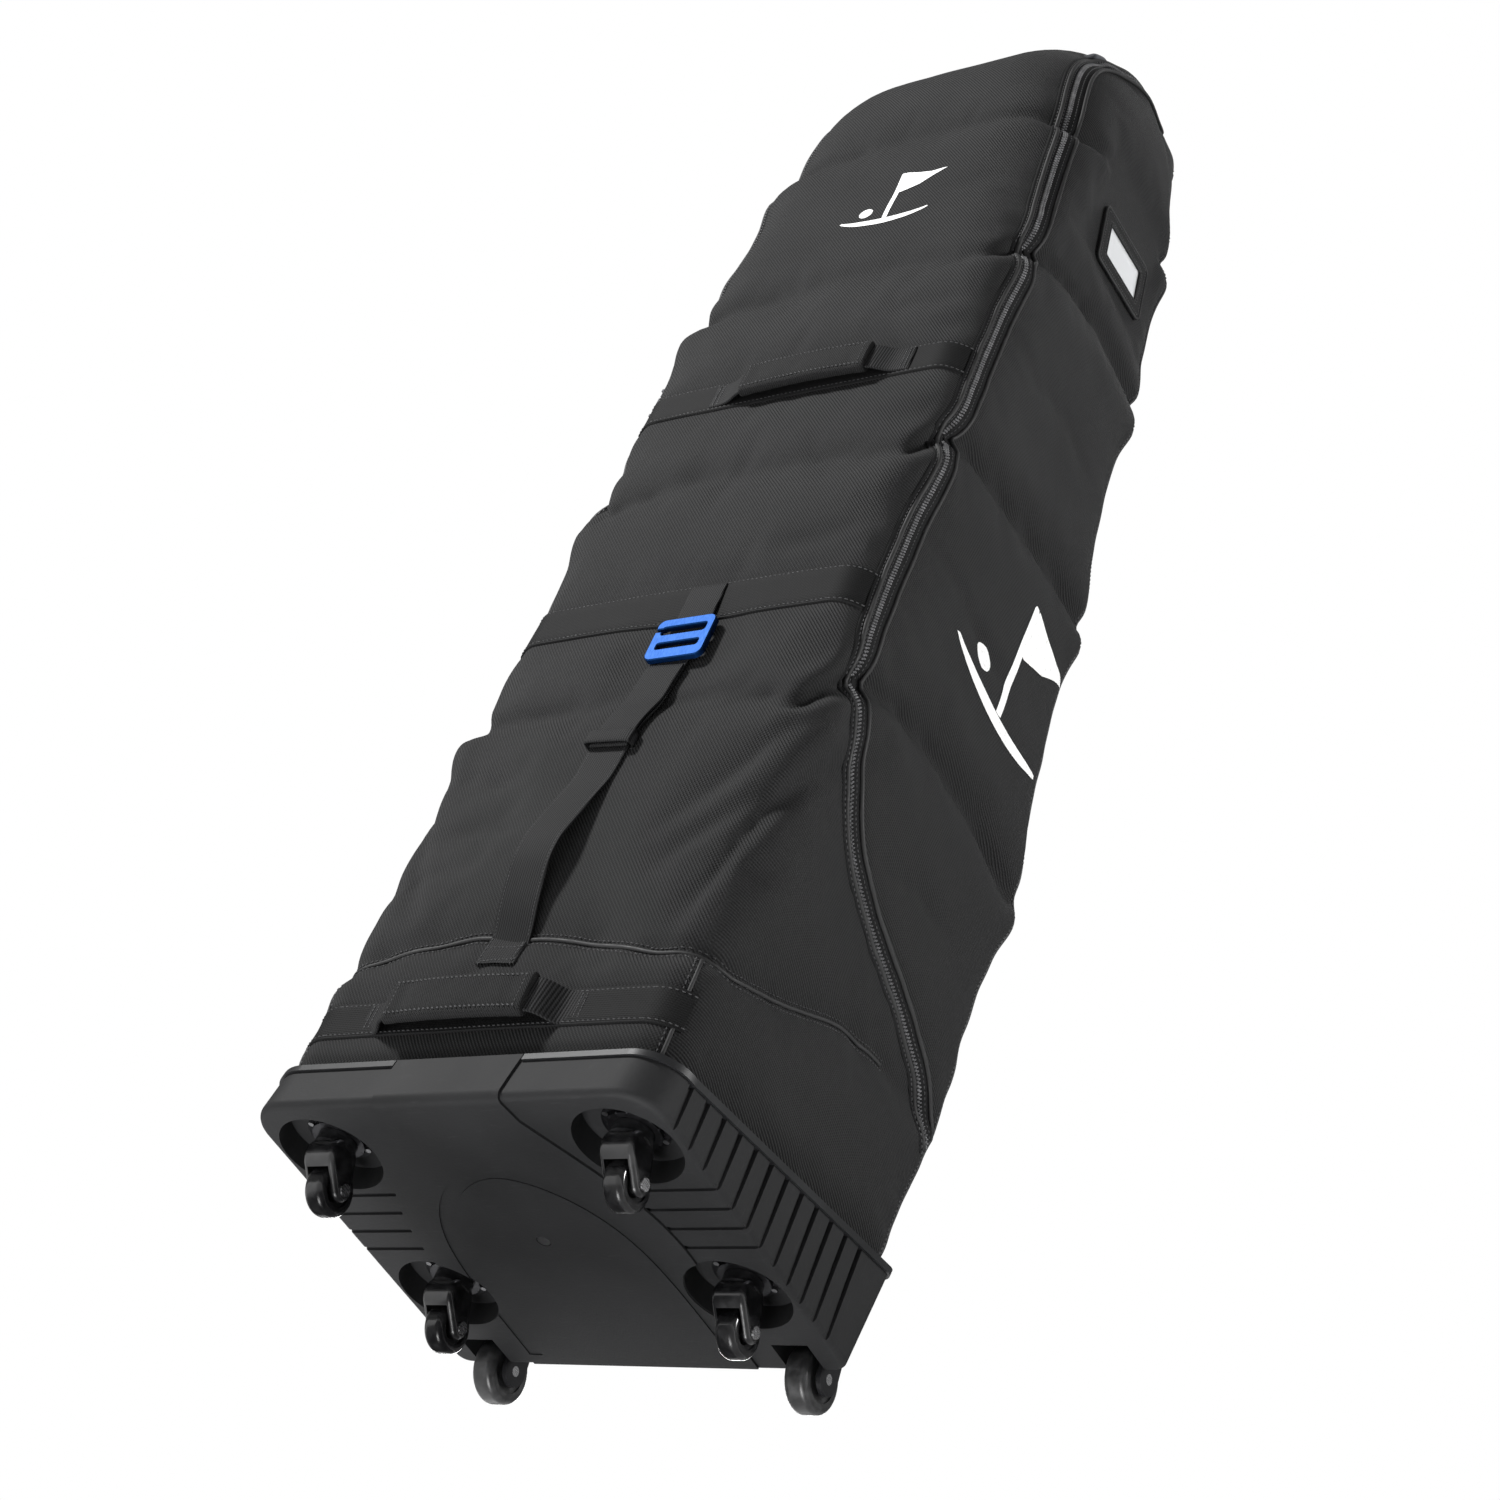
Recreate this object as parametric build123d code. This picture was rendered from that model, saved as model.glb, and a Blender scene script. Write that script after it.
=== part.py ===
from build123d import *
import os

# Golf travel case, in millimetres: a padded fabric shell with a fold-down front lid, on a moulded
# base with four swivel casters and two large fixed wheels. The case stands upright on its casters.
# +Z is up, -Y is its front, +X is its right side seen from the front. The origin is on the floor
# under the centre of the whole case.

# Moulded base
underside = 40.0             # height of the underside over the floor
half_width_low = 173.5       # at the underside
half_width_gain = 0.03       # outward lean of the side walls
front_low = -165.0
front_gain = 0.17            # backward lean of the front wall
rear_low = 150.0
rear_gain = 0.115
base_top = 150.0             # the walls are drawn to here, then cut along the rim
front_corner = 33.0
rear_corner = 12.0
wall = 6.0
edge_round = 5.0
rim_front = 75.0             # rim height at the front, level as far as rim_knee
rim_knee = -126.0
rim_rear = 126.0             # rim height at the rear wall
rim_rear_y = 160.0
bead_height = 5.5
flute_count = 12
flute_pitch = 21.4
flute_first = -126.0
flute_width = 5.5
flute_depth = 3.6
underside_groove_depth = 2.2

# Skid plate under the base
skid_thickness = 2.0
lip_half = 54.0
skid_rear_half = 100.0
centre_screw_y = -8.0
screw_head_radius = 5.0
screw_head_height = 1.2
screw_shank_radius = 2.4
screw_recess = 0.2             # how far the centre screw's head sits above the plate's face

# Casters
caster_x = 128.0
caster_front_y = -109.0
caster_rear_y = 58.0
cup_radius = 40.0
cup_ceiling = 59.0
caster_radius = 19.0
caster_width = 17.0
caster_trail = 14.0
fork_half = 14.0
slot_half = 9.7
axle_radius = 3.0
kingpin_radius = 4.0
running_gap = 0.05           # radial clearance of everything that turns
ring_radius = 20.0
plate_radius = 25.0
plate_thickness = 2.5

# Large fixed wheels at the rear
wheel_x = 139.0
wheel_y = 157.0
wheel_z = 38.0
wheel_radius = 25.0
wheel_width = 19.0
wheel_axle_radius = 4.0
cheek_thickness = 4.0
cheek_gap = 1.2
pocket_radius = 29.5
pocket_front = 118.0

# Fabric shell
shell_half = 165.0
front_face = -152.0
shell_top = 1436.0
shell_bottom = 73.0
padding = 10.0
vertical_round = 28.0
rear_vertical_round = 6.0
top_front_round = 158.0
top_rear_round = 38.0
knee_round = 220.0
rear_foot = (143.0, 40.0)
rear_rim_point = (153.0, 132.0)
rear_low_bulge = (174.0, 300.0)
rear_knee = (174.0, 480.0)
rear_top_y = 46.0
panel_gap = 0.3

# Lid fold
fold_height = 422.0
fold_gap = 0.6
lid_top_start = 1240.0
lid_rear_y = 12.0

# Zips: the curve runs down the front edge of the side and sweeps back to the rear
zip_width = 9.0
zip_thickness = 2.5
zip_y = -128.0               # the straight run up the front edge of each side
zip_sweep = [(162, 245), (123, 281), (59, 306), (1, 324), (-57, 351), (-92, 400), (-114, 452)]
zip_bend_z = 505.0
zip_top_end_y = 34.0
slider_upper_z = 890.0
slider_lower_z = 866.0
pin_standoff = 6.8

# Webbing and grips
webbing = 1.8
band_half = 136.0
lower_band_z = (106.0, 140.0)
middle_band_z = (524.0, 567.0)
upper_band_z = (812.0, 850.0)
grip_thickness = 12.0
lower_grip_x = (-72.0, 50.0)
lower_grip_z = (103.0, 141.0)
lower_grip_front = -182.0
upper_grip_x = (-45.0, 80.0)
upper_grip_z = (812.0, 850.0)
upper_grip_front = -174.0
tab_length = 22.0

# Lash strap and its hook
strap_width = 36.0
strap_foot = (-10.0, 192.0)
strap_head = (14.0, 492.0)
strap_bow = 26.0
keeper_z = 380.0
hook_x = 17.0
hook_z = 498.0
hook_width = 54.0
hook_height = 46.0
hook_thickness = 5.0

# Identity pocket on the right side
pocket_centre = (0.0, 1160.0)
pocket_size = (94.0, 66.0)
pocket_tilt = 12.0
window_size = (66.0, 36.0)

# Inside
liner_z = (71.0, 76.0)
board_thickness = 3.0
inner_strap_heights = (520.0, 900.0)
inner_strap_width = 38.0
inner_buckle = (56.0, 8.0, 44.0)


def half_width_at(z):
    return half_width_low + half_width_gain * (z - underside)


def base_section(z, inset):
    """Outline of the base at one height, moved inwards by inset."""
    half = half_width_at(z) - inset
    front = front_low + front_gain * (z - underside) + inset
    rear = rear_low + rear_gain * (z - underside) - inset
    outline = Pos(0, (front + rear) / 2) * Rectangle(2 * half, rear - front)
    front_vertices = outline.vertices().group_by(Axis.Y)[0]
    outline = fillet(front_vertices, front_corner - inset)
    rear_vertices = outline.vertices().group_by(Axis.Y)[-1]
    outline = fillet(rear_vertices, max(rear_corner - inset, 2))
    return Pos(0, 0, z) * outline


def base_block(inset, bottom):
    """The base as one block up to base_top, with its lower edge rounded."""
    body = loft([base_section(bottom, inset), base_section(base_top, inset)])
    lower_edges = body.edges().group_by(Axis.Z)[0]
    return fillet(lower_edges, max(edge_round - inset, 1))


def rim_height(y):
    slope = (rim_rear - rim_front) / (rim_rear_y - rim_knee)
    return rim_front + slope * max(0, y - rim_knee)


def under_rim(rise):
    """Everything lower than the rim line raised by rise."""
    reach = 260
    line = Polyline(
        (-reach, -reach),
        (-reach, rim_front + rise),
        (rim_knee, rim_front + rise),
        (reach, rim_height(reach) + rise),
        (reach, -reach),
        close=True,
    )
    return extrude(Plane.YZ * make_face(line), amount=reach, both=True)


def caster_places():
    return {
        "front_right": (caster_x, caster_front_y),
        "front_left": (-caster_x, caster_front_y),
        "rear_right": (caster_x, caster_rear_y),
        "rear_left": (-caster_x, caster_rear_y),
    }


def standing_cylinder(x, y, bottom, top, radius):
    return Pos(x, y, (bottom + top) / 2) * Cylinder(radius, top - bottom)


def cross_cylinder(x_low, x_high, y, z, radius):
    """A cylinder along X."""
    return Pos((x_low + x_high) / 2, y, z) * Rot(0, 90, 0) * Cylinder(radius, x_high - x_low)


def block(x_range, y_range, z_range):
    size = [high - low for low, high in (x_range, y_range, z_range)]
    middle = [(high + low) / 2 for low, high in (x_range, y_range, z_range)]
    return Pos(*middle) * Box(*size)


def wheel_pocket(side, grow):
    """The space of one large wheel; grow adds the wall around it."""
    half = wheel_width / 2 + cheek_gap + cheek_thickness + panel_gap + grow
    x_range = sorted((side * wheel_x - half, side * wheel_x + half))
    space = cross_cylinder(*x_range, wheel_y, wheel_z, pocket_radius + grow)
    space += block(x_range, (pocket_front - grow, wheel_y), (underside - 20, wheel_z + 12 + grow))
    space += block(x_range, (wheel_y, wheel_y + 60), (-10, wheel_z + pocket_radius + grow))
    return space


def flute_positions():
    return [flute_first + i * flute_pitch for i in range(flute_count)]


def flute_cutters():
    """Grooves down both side walls, and the four that carry on across the underside."""
    cutters = []
    reach = 20
    for y in flute_positions():
        for side in (-1, 1):
            inner = half_width_low + 1.5 - flute_depth
            x_range = sorted((side * inner, side * (inner + reach)))
            cutters.append(block(x_range, (y - flute_width / 2, y + flute_width / 2), (0, base_top)))
        clear_of_front_cups = y > caster_front_y + cup_radius + 2
        clear_of_rear_cups = y < caster_rear_y - cup_radius - 2
        if clear_of_front_cups and clear_of_rear_cups:
            z_range = (0, underside + underside_groove_depth)
            cutters.append(block((-shell_half - reach, shell_half + reach), (y - 2, y + 2), z_range))
    return cutters


def base_tray():
    outer = base_block(0, underside)
    tray = outer - base_block(wall, underside + wall)
    for x, y in caster_places().values():
        seat = standing_cylinder(x, y, underside, cup_ceiling + 3, cup_radius + 3)
        tray += seat & outer
    for side in (-1, 1):
        tray += wheel_pocket(side, 3) & outer
    for x, y in caster_places().values():
        tray -= standing_cylinder(x, y, 0, cup_ceiling, cup_radius)
    for side in (-1, 1):
        tray -= wheel_pocket(side, 0)
    for cutter in flute_cutters():
        tray -= cutter
    return tray & under_rim(0)


def skid_outline():
    """Half of the outline is drawn on the right, from the front lip to the rear edge."""
    half = Polyline((0, -190), (lip_half, -190), (lip_half, -163), (lip_half + 4, -140))
    half += Spline((lip_half + 4, -140), (87, -86), (108, -34), (114, 13), (104, 78))
    half += Polyline((104, 78), (skid_rear_half, 112), (skid_rear_half, 146), (0, 146))
    return make_face(half + mirror(half, about=Plane.YZ))


def arch_groove():
    """The shallow arch pressed into the underside of the skid plate."""
    rise = 1.0
    path = Spline((-91, 134), (-88, 41), (-61, -48), (0, -86), (61, -48), (88, 41), (91, 134))
    band = trace(path, line_width=12)
    return extrude(Pos(0, 0, underside - skid_thickness) * band, amount=rise)


def skid_plate():
    skin = base_block(-skid_thickness, underside - skid_thickness) - base_block(0, underside)
    plan = extrude(skid_outline(), amount=base_top)
    plate = skin & plan & block((-200, 200), (-200, 146), (0, rim_front + bead_height))
    for x, y in caster_places().values():
        plate -= standing_cylinder(x, y, 0, base_top, cup_radius + 0.5)
    plate -= arch_groove()
    plate -= standing_cylinder(0, centre_screw_y, 0, base_top, screw_shank_radius + 0.2)
    recess_top = underside - skid_thickness + screw_recess + screw_head_height
    plate -= standing_cylinder(0, centre_screw_y, 0, recess_top, screw_head_radius + 0.4)
    return largest_solid(plate)


def largest_solid(shape):
    return max(shape.solids(), key=lambda solid: solid.volume)


def rim_bead():
    """The rail that clamps the fabric to the rim, open in front where the skid plate's lip is."""
    ring = base_block(-2, underside) - base_block(wall - 1, underside - 10)
    ring = (ring & under_rim(bead_height)) - under_rim(0)
    ring -= block((-lip_half - 1.5, lip_half + 1.5), (-200, -100), (0, base_top))
    return ring


def base_screws():
    """The centre screw of the skid plate and four screws in each caster plate."""
    head_low = underside - skid_thickness + screw_recess
    head_top = head_low + screw_head_height
    screws = standing_cylinder(0, centre_screw_y, head_low, head_top, screw_head_radius)
    screws += standing_cylinder(0, centre_screw_y, head_top, underside - 0.2, screw_shank_radius)
    for x, y in caster_places().values():
        head_low = cup_ceiling - plate_thickness - 1.6
        for place in PolarLocations(plate_radius - 2.6, 4, 45):
            spot = place.position
            head = standing_cylinder(x + spot.X, y + spot.Y, head_low, head_low + 1.6, 2.2)
            screws += head
    return screws


def caster_plates():
    plates = Part()
    for x, y in caster_places().values():
        plate = standing_cylinder(x, y, cup_ceiling - plate_thickness, cup_ceiling, plate_radius)
        plate -= standing_cylinder(x, y, 0, base_top, kingpin_radius + running_gap)
        plates += plate
    return plates


def swivel_rings():
    """One raceway per caster, with the crowns of its balls standing out of the lower face."""
    top = cup_ceiling - plate_thickness
    rings = Part()
    for x, y in caster_places().values():
        ring = standing_cylinder(x, y, top - 4, top, ring_radius)
        ring -= standing_cylinder(x, y, top - 4, top, ring_radius - 6)
        for place in PolarLocations(ring_radius - 1, 14):
            spot = place.position
            ring += Pos(x + spot.X, y + spot.Y, top - 2.5) * Sphere(1.7)
        rings += ring
    return rings


def caster_fork(x, y):
    """Hooded fork: a rounded horn over the wheel, open below, with its kingpin on top."""
    with BuildSketch(Plane.YZ) as horn_side:
        with Locations((1, 37)):
            Circle(14)
        with Locations((caster_trail, caster_radius)):
            Circle(8.5)
        make_hull()
    horn = extrude(horn_side.sketch, amount=fork_half, both=True)
    horn = fillet(horn.edges().filter_by(GeomType.LINE, reverse=True), 4)
    crown_top = cup_ceiling - plate_thickness - 4 - panel_gap
    horn += standing_cylinder(0, 0, 44, crown_top, 15)
    horn -= cross_cylinder(-slot_half, slot_half, caster_trail, caster_radius, caster_radius + 2.2)
    horn -= block((-slot_half, slot_half), (caster_trail - 3, 60), (0, 40))
    horn += standing_cylinder(0, 0, crown_top - 4, cup_ceiling - 0.5, kingpin_radius)
    horn -= cross_cylinder(-30, 30, caster_trail, caster_radius, axle_radius + 0.02)
    return Pos(x, y, 0) * horn


def caster_axle(x, y):
    reach = fork_half + 0.2
    pin = cross_cylinder(-reach, reach, caster_trail, caster_radius, axle_radius)
    for side in (-1, 1):
        head_range = sorted((side * fork_half, side * (fork_half + 1.4)))
        pin += cross_cylinder(*head_range, caster_trail, caster_radius, 4.6)
    pin -= block((fork_half + 0.7, fork_half + 2), (caster_trail - 3, caster_trail + 3), (18.4, 19.6))
    return Pos(x, y, 0) * pin


def caster_wheel(x, y):
    half = caster_width / 2
    wheel = cross_cylinder(-half, half, caster_trail, caster_radius, caster_radius)
    wheel = fillet(wheel.edges(), 5)
    for side in (-1, 1):
        groove_range = sorted((side * (half - 1.2), side * half))
        groove = cross_cylinder(*groove_range, caster_trail, caster_radius, 12)
        groove -= cross_cylinder(*groove_range, caster_trail, caster_radius, 6.5)
        wheel -= groove
    wheel -= cross_cylinder(-half, half, caster_trail, caster_radius, axle_radius + running_gap)
    return Pos(x, y, 0) * wheel


def wheel_housing(side):
    """Two cheeks that carry the axle of a large wheel, joined by a roof over the wheel."""
    inner = wheel_width / 2 + cheek_gap
    outer = inner + cheek_thickness
    roof_top = wheel_z + pocket_radius - 0.2
    with BuildSketch(Plane.YZ) as cheek_side:
        with Locations((wheel_y, wheel_z)):
            Circle(12)
        with Locations((wheel_y - 1, roof_top - 9)):
            Rectangle(20, 12)
        make_hull()
    housing = Part()
    for low, high in ((-outer, -inner), (inner, outer)):
        cheek = extrude(cheek_side.sketch, amount=high - low)
        housing += Pos(side * wheel_x + low, 0, 0) * cheek
    x_range = (side * wheel_x - outer, side * wheel_x + outer)
    roof = cross_cylinder(*x_range, wheel_y, wheel_z, pocket_radius - 0.2)
    roof -= cross_cylinder(*x_range, wheel_y, wheel_z, wheel_radius + 2)
    housing += roof & block(x_range, (wheel_y - 18, wheel_y + 6), (wheel_z + 10, base_top))
    housing -= cross_cylinder(*x_range, wheel_y, wheel_z, wheel_axle_radius + 0.02)
    return housing


def large_axle(side):
    reach = wheel_width / 2 + cheek_gap + cheek_thickness
    axle = cross_cylinder(-reach, reach, wheel_y, wheel_z, wheel_axle_radius)
    return Pos(side * wheel_x, 0, 0) * axle


def large_wheel(side):
    half = wheel_width / 2
    wheel = cross_cylinder(-half, half, wheel_y, wheel_z, wheel_radius)
    wheel = fillet(wheel.edges(), 5)
    for face in (-1, 1):
        dish_range = sorted((face * (half - 1.5), face * half))
        dish = cross_cylinder(*dish_range, wheel_y, wheel_z, 17)
        dish -= cross_cylinder(*dish_range, wheel_y, wheel_z, 8)
        wheel -= dish
    wheel -= cross_cylinder(-half, half, wheel_y, wheel_z, wheel_axle_radius + running_gap)
    return Pos(side * wheel_x, 0, 0) * wheel


def vertex_near(face, y, z):
    return min(face.vertices(), key=lambda corner: (corner.X - y) ** 2 + (corner.Y - z) ** 2)


def side_outline(inset):
    """Outline of the whole shell seen from the side, moved inwards by inset."""
    line = Polyline(
        (front_face, rear_foot[1]),
        (front_face, shell_top),
        (rear_top_y, shell_top),
        rear_knee,
        rear_low_bulge,
        rear_rim_point,
        rear_foot,
        close=True,
    )
    face = make_face(line)
    face = fillet(vertex_near(face, front_face, shell_top), top_front_round)
    face = fillet(vertex_near(face, rear_top_y, shell_top), top_rear_round)
    face = fillet(vertex_near(face, *rear_knee), knee_round)
    if inset:
        face = offset(face, amount=-inset)
    return face


def across(face):
    """A side-view face made solid over the whole width of the shell."""
    return extrude(Plane.YZ * face, amount=shell_half, both=True)


def plan_prism():
    """The shell's plan: rounded front corners and tighter rear ones."""
    rear = rear_knee[0]
    plan = Pos(0, (front_face + rear) / 2) * Rectangle(2 * shell_half, rear - front_face)
    plan = fillet(plan.vertices().group_by(Axis.Y)[0], vertical_round)
    plan = fillet(plan.vertices().group_by(Axis.Y)[-1], rear_vertical_round)
    return extrude(plan, amount=shell_top + 10)


def shell_strip(y_range, z_range):
    """Part of the padded strip that runs up the front, over the top and down the back."""
    strip = across(side_outline(0) - side_outline(padding)) & plan_prism()
    return strip & block((-200, 200), y_range, z_range)


def zip_curve():
    """The zip line seen from the side: the sweep, the straight run and the turn over the top."""
    sweep = Spline(*zip_sweep, (zip_y, zip_bend_z), tangents=[(-1, 0.9), (0, 1)])
    top_centre = (front_face + top_front_round, shell_top - top_front_round)
    radius = top_centre[0] - zip_y
    run = Line((zip_y, zip_bend_z), (zip_y, top_centre[1]))
    turn = CenterArc(top_centre, radius, 90, 90)
    crown = Line((top_centre[0], top_centre[1] + radius), (zip_top_end_y, top_centre[1] + radius))
    return sweep, run, turn, crown


def side_core():
    """The padded side, before the zip parts it into an upper panel and a lower wedge."""
    core = across(side_outline(padding + panel_gap)) & plan_prism()
    return core & block((shell_half - padding, shell_half), (-200, 200), (shell_bottom, shell_top))


def under_zip():
    sweep = zip_curve()[0]
    rim = Polyline((zip_y, zip_bend_z), (-200, zip_bend_z), (-200, 0), (200, 0), (200, 235), zip_sweep[0])
    return across(make_face(Curve() + sweep + rim))


def zip_slot():
    return across(trace(zip_curve()[0], line_width=zip_width))


def zip_track():
    ribbon = Sketch()
    for edge in zip_curve():
        ribbon += trace(edge, line_width=zip_width)
    return Pos(shell_half, 0, 0) * extrude(Plane.YZ * ribbon, amount=zip_thickness)


def on_both_sides(name, right_shape):
    return {f"{name}_right": right_shape, f"{name}_left": mirror(right_shape, about=Plane.YZ)}


def zip_slider(z, pull_side):
    """Slider on the left side's zip; its pull hangs from two lugs at the end given by pull_side."""
    outer = -shell_half - zip_thickness - panel_gap
    body = block((outer - 5, outer), (zip_y - 5.5, zip_y + 5.5), (z - 9, z + 9))
    body = fillet(body.edges().filter_by(Axis.X), 3)
    pin_z = z + pull_side * 6
    pin_x = outer - pin_standoff
    for low, high in ((-4.6, -3.2), (3.2, 4.6)):
        lug = block((pin_x - 1.4, outer - 4), (zip_y + low, zip_y + high), (pin_z - 1.6, pin_z + 1.6))
        body += lug
    pin = Pos(pin_x, zip_y, pin_z) * Rot(90, 0, 0) * Cylinder(0.8, 7)
    return body + pin


def zip_pull(z, pull_side):
    pin_z = z + pull_side * 6
    pin_x = -shell_half - zip_thickness - panel_gap - pin_standoff
    knuckle = Pos(pin_x, zip_y, pin_z) * Rot(90, 0, 0) * Cylinder(1.5, 5.6)
    tongue = block((pin_x - 0.7, pin_x + 0.7), (zip_y - 2.8, zip_y + 2.8), (pin_z - 26, pin_z))
    grip = block((pin_x - 0.7, pin_x + 0.7), (zip_y - 4, zip_y + 4), (pin_z - 26, pin_z - 10))
    grip = fillet(grip.edges().filter_by(Axis.X), 2)
    bore = Pos(pin_x, zip_y, pin_z) * Rot(90, 0, 0) * Cylinder(0.8 + running_gap, 20)
    return knuckle + tongue + grip - bore


def front_band(z_range):
    return block((-band_half, band_half), (front_face - webbing, front_face), z_range)


def grip_sleeve(x_range, z_range, front):
    sleeve = block(x_range, (front, front + grip_thickness), z_range)
    return fillet(sleeve.edges(), 4.5)


def grip_tabs(x_range, z_range, front):
    """The webbing ends that lead from the sleeve's ends down to the front panel."""
    middle = front + grip_thickness / 2
    foot = front_face - webbing - 1.6
    tabs = Part()
    for end, way in ((x_range[0], -1), (x_range[1], 1)):
        start = end + way * 0.6
        path = Polyline((start, middle), (start + way * 4, middle), (end + way * tab_length, foot))
        strip = extrude(trace(path, line_width=2.6), amount=z_range[1] - z_range[0] - 6)
        tabs += Pos(0, 0, z_range[0] + 3) * strip
    return tabs


def leaning_strap(shape):
    """Lean a strap drawn upright at x = 0 onto the line from strap_foot to strap_head."""
    rise = strap_head[1] - strap_foot[1]
    lean = Vector(strap_head[0] - strap_foot[0], rise).get_angle(Vector(0, 1))
    foot = Pos(strap_foot[0], 0, strap_foot[1])
    return foot * Rot(0, lean, 0) * Pos(0, 0, -strap_foot[1]) * shape


def lash_strap_lower():
    rest = front_face - webbing
    foot_z = strap_foot[1]
    path = Spline(
        (rest - 1.2, foot_z),
        (rest - strap_bow / 2, foot_z + 24),
        (rest - strap_bow, foot_z + 72),
        (rest - strap_bow / 2, foot_z + 140),
        (rest - 2.4, keeper_z),
        (rest - 1.2, fold_height - 4),
        tangents=[(-1, 0.8), (0, 1)],
    )
    ribbon = trace(path, line_width=webbing)
    return leaning_strap(extrude(Plane.YZ * ribbon, amount=strap_width / 2, both=True))


def lash_strap_upper():
    rest = front_face - webbing
    x_range = (-strap_width / 2, strap_width / 2)
    strip = block(x_range, (rest - 2.1, rest - 0.3), (fold_height + 4, hook_z - 16))
    return leaning_strap(strip)


def strap_keeper():
    """A stitched loop of webbing round the strap."""
    half = strap_width / 2
    z_range = (keeper_z - 7, keeper_z + 7)
    loop = block((-half - 3, half + 3), (front_face - 8.5, front_face), z_range)
    loop -= block((-half - 1.2, half + 1.2), (front_face - 6.9, front_face - 1.4), (0, 600))
    return leaning_strap(loop)


def hook_buckle():
    """Flat ladder hook: one strap slot below and an open hook slot above."""
    plate = RectangleRounded(hook_width, hook_height, 7)
    plate -= Pos(0, -8) * RectangleRounded(strap_width + 3, 7, 2)
    plate -= Pos(0, 9.5) * RectangleRounded(strap_width + 5, 9, 2.5)
    plate -= Pos(3 - hook_width / 2, 11) * Rectangle(10, 3.4)
    face_plane = Plane((hook_x, front_face - webbing - 3.4, hook_z), x_dir=(1, 0, 0), z_dir=(0, -1, 0))
    solid = extrude(face_plane * plate, amount=hook_thickness)
    return chamfer(solid.edges().group_by(Axis.Y)[0], 0.8)


def buckle_loop():
    """The webbing loop under the middle band that the hook catches."""
    low = hook_z + 6
    y_range = (front_face - 3.4, front_face - 1.9)
    return block((hook_x - 17, hook_x + 17), y_range, (low, middle_band_z[1] - 8))


def id_frame():
    """Sewn pocket, open at the top, with a window; drawn flat, then tilted onto the side panel."""
    outer = RectangleRounded(*pocket_size, 5)
    rim = outer - Pos(0, 6) * Rectangle(pocket_size[0] - 16, pocket_size[1])
    face = outer - RectangleRounded(*window_size, 2)
    lower = extrude(Plane.YZ * rim, amount=2)
    upper = Pos(2, 0, 0) * extrude(Plane.YZ * face, amount=1.4)
    return on_pocket(lower + upper)


def on_pocket(shape):
    centre = Pos(shell_half, pocket_centre[0], pocket_centre[1])
    return centre * Rot(pocket_tilt, 0, 0) * shape


def id_window():
    sheet = RectangleRounded(window_size[0] + 8, window_size[1] + 8, 2)
    return on_pocket(Pos(1.35, 0, 0) * extrude(Plane.YZ * sheet, amount=0.6))


def id_card():
    sheet = RectangleRounded(window_size[0] + 6, window_size[1] + 10, 2)
    return on_pocket(Pos(0.4, 0, 0) * extrude(Plane.YZ * sheet, amount=0.6))


def base_liner():
    board = Pos(0, 0, liner_z[0]) * RectangleRounded(300, 268, 24)
    return extrude(board, amount=liner_z[1] - liner_z[0])


def back_board():
    layer = side_outline(padding + panel_gap) - side_outline(padding + panel_gap + board_thickness)
    return across(layer) & block((-120, 120), (40, 200), (100, 1240))


def top_pad():
    layer = side_outline(padding + panel_gap) - side_outline(padding + 14)
    return across(layer) & block((-130, 130), (-110, 5), (1300, 1500))


def back_inner_y(z):
    """The front face of the back board above the knee."""
    slope = (rear_knee[0] - rear_top_y) / (shell_top - rear_knee[1])
    return rear_knee[0] - slope * (z - rear_knee[1]) - padding - board_thickness - 2


def inner_straps():
    straps = Part()
    for z in inner_strap_heights:
        back = back_inner_y(z + inner_strap_width / 2) - 1
        z_range = (z - inner_strap_width / 2, z + inner_strap_width / 2)
        straps += block((-138, 138), (back - webbing, back), z_range)
    return straps


def inner_buckles():
    """Side-release buckles that join the two halves of each inner strap."""
    buckles = Part()
    width, depth, height = inner_buckle
    for z in inner_strap_heights:
        back = back_inner_y(z + inner_strap_width / 2) - 1 - webbing - 0.2
        buckle = block((-width / 2, width / 2), (back - depth, back), (z - height / 2, z + height / 2))
        buckle = fillet(buckle.edges(), 2.5)
        for side in (-1, 1):
            slot_x = sorted((side * 9, side * 12))
            buckle -= block(slot_x, (back - depth, back), (z - height / 2 + 6, z + height / 2 - 6))
        buckles += buckle
    return buckles


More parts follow.
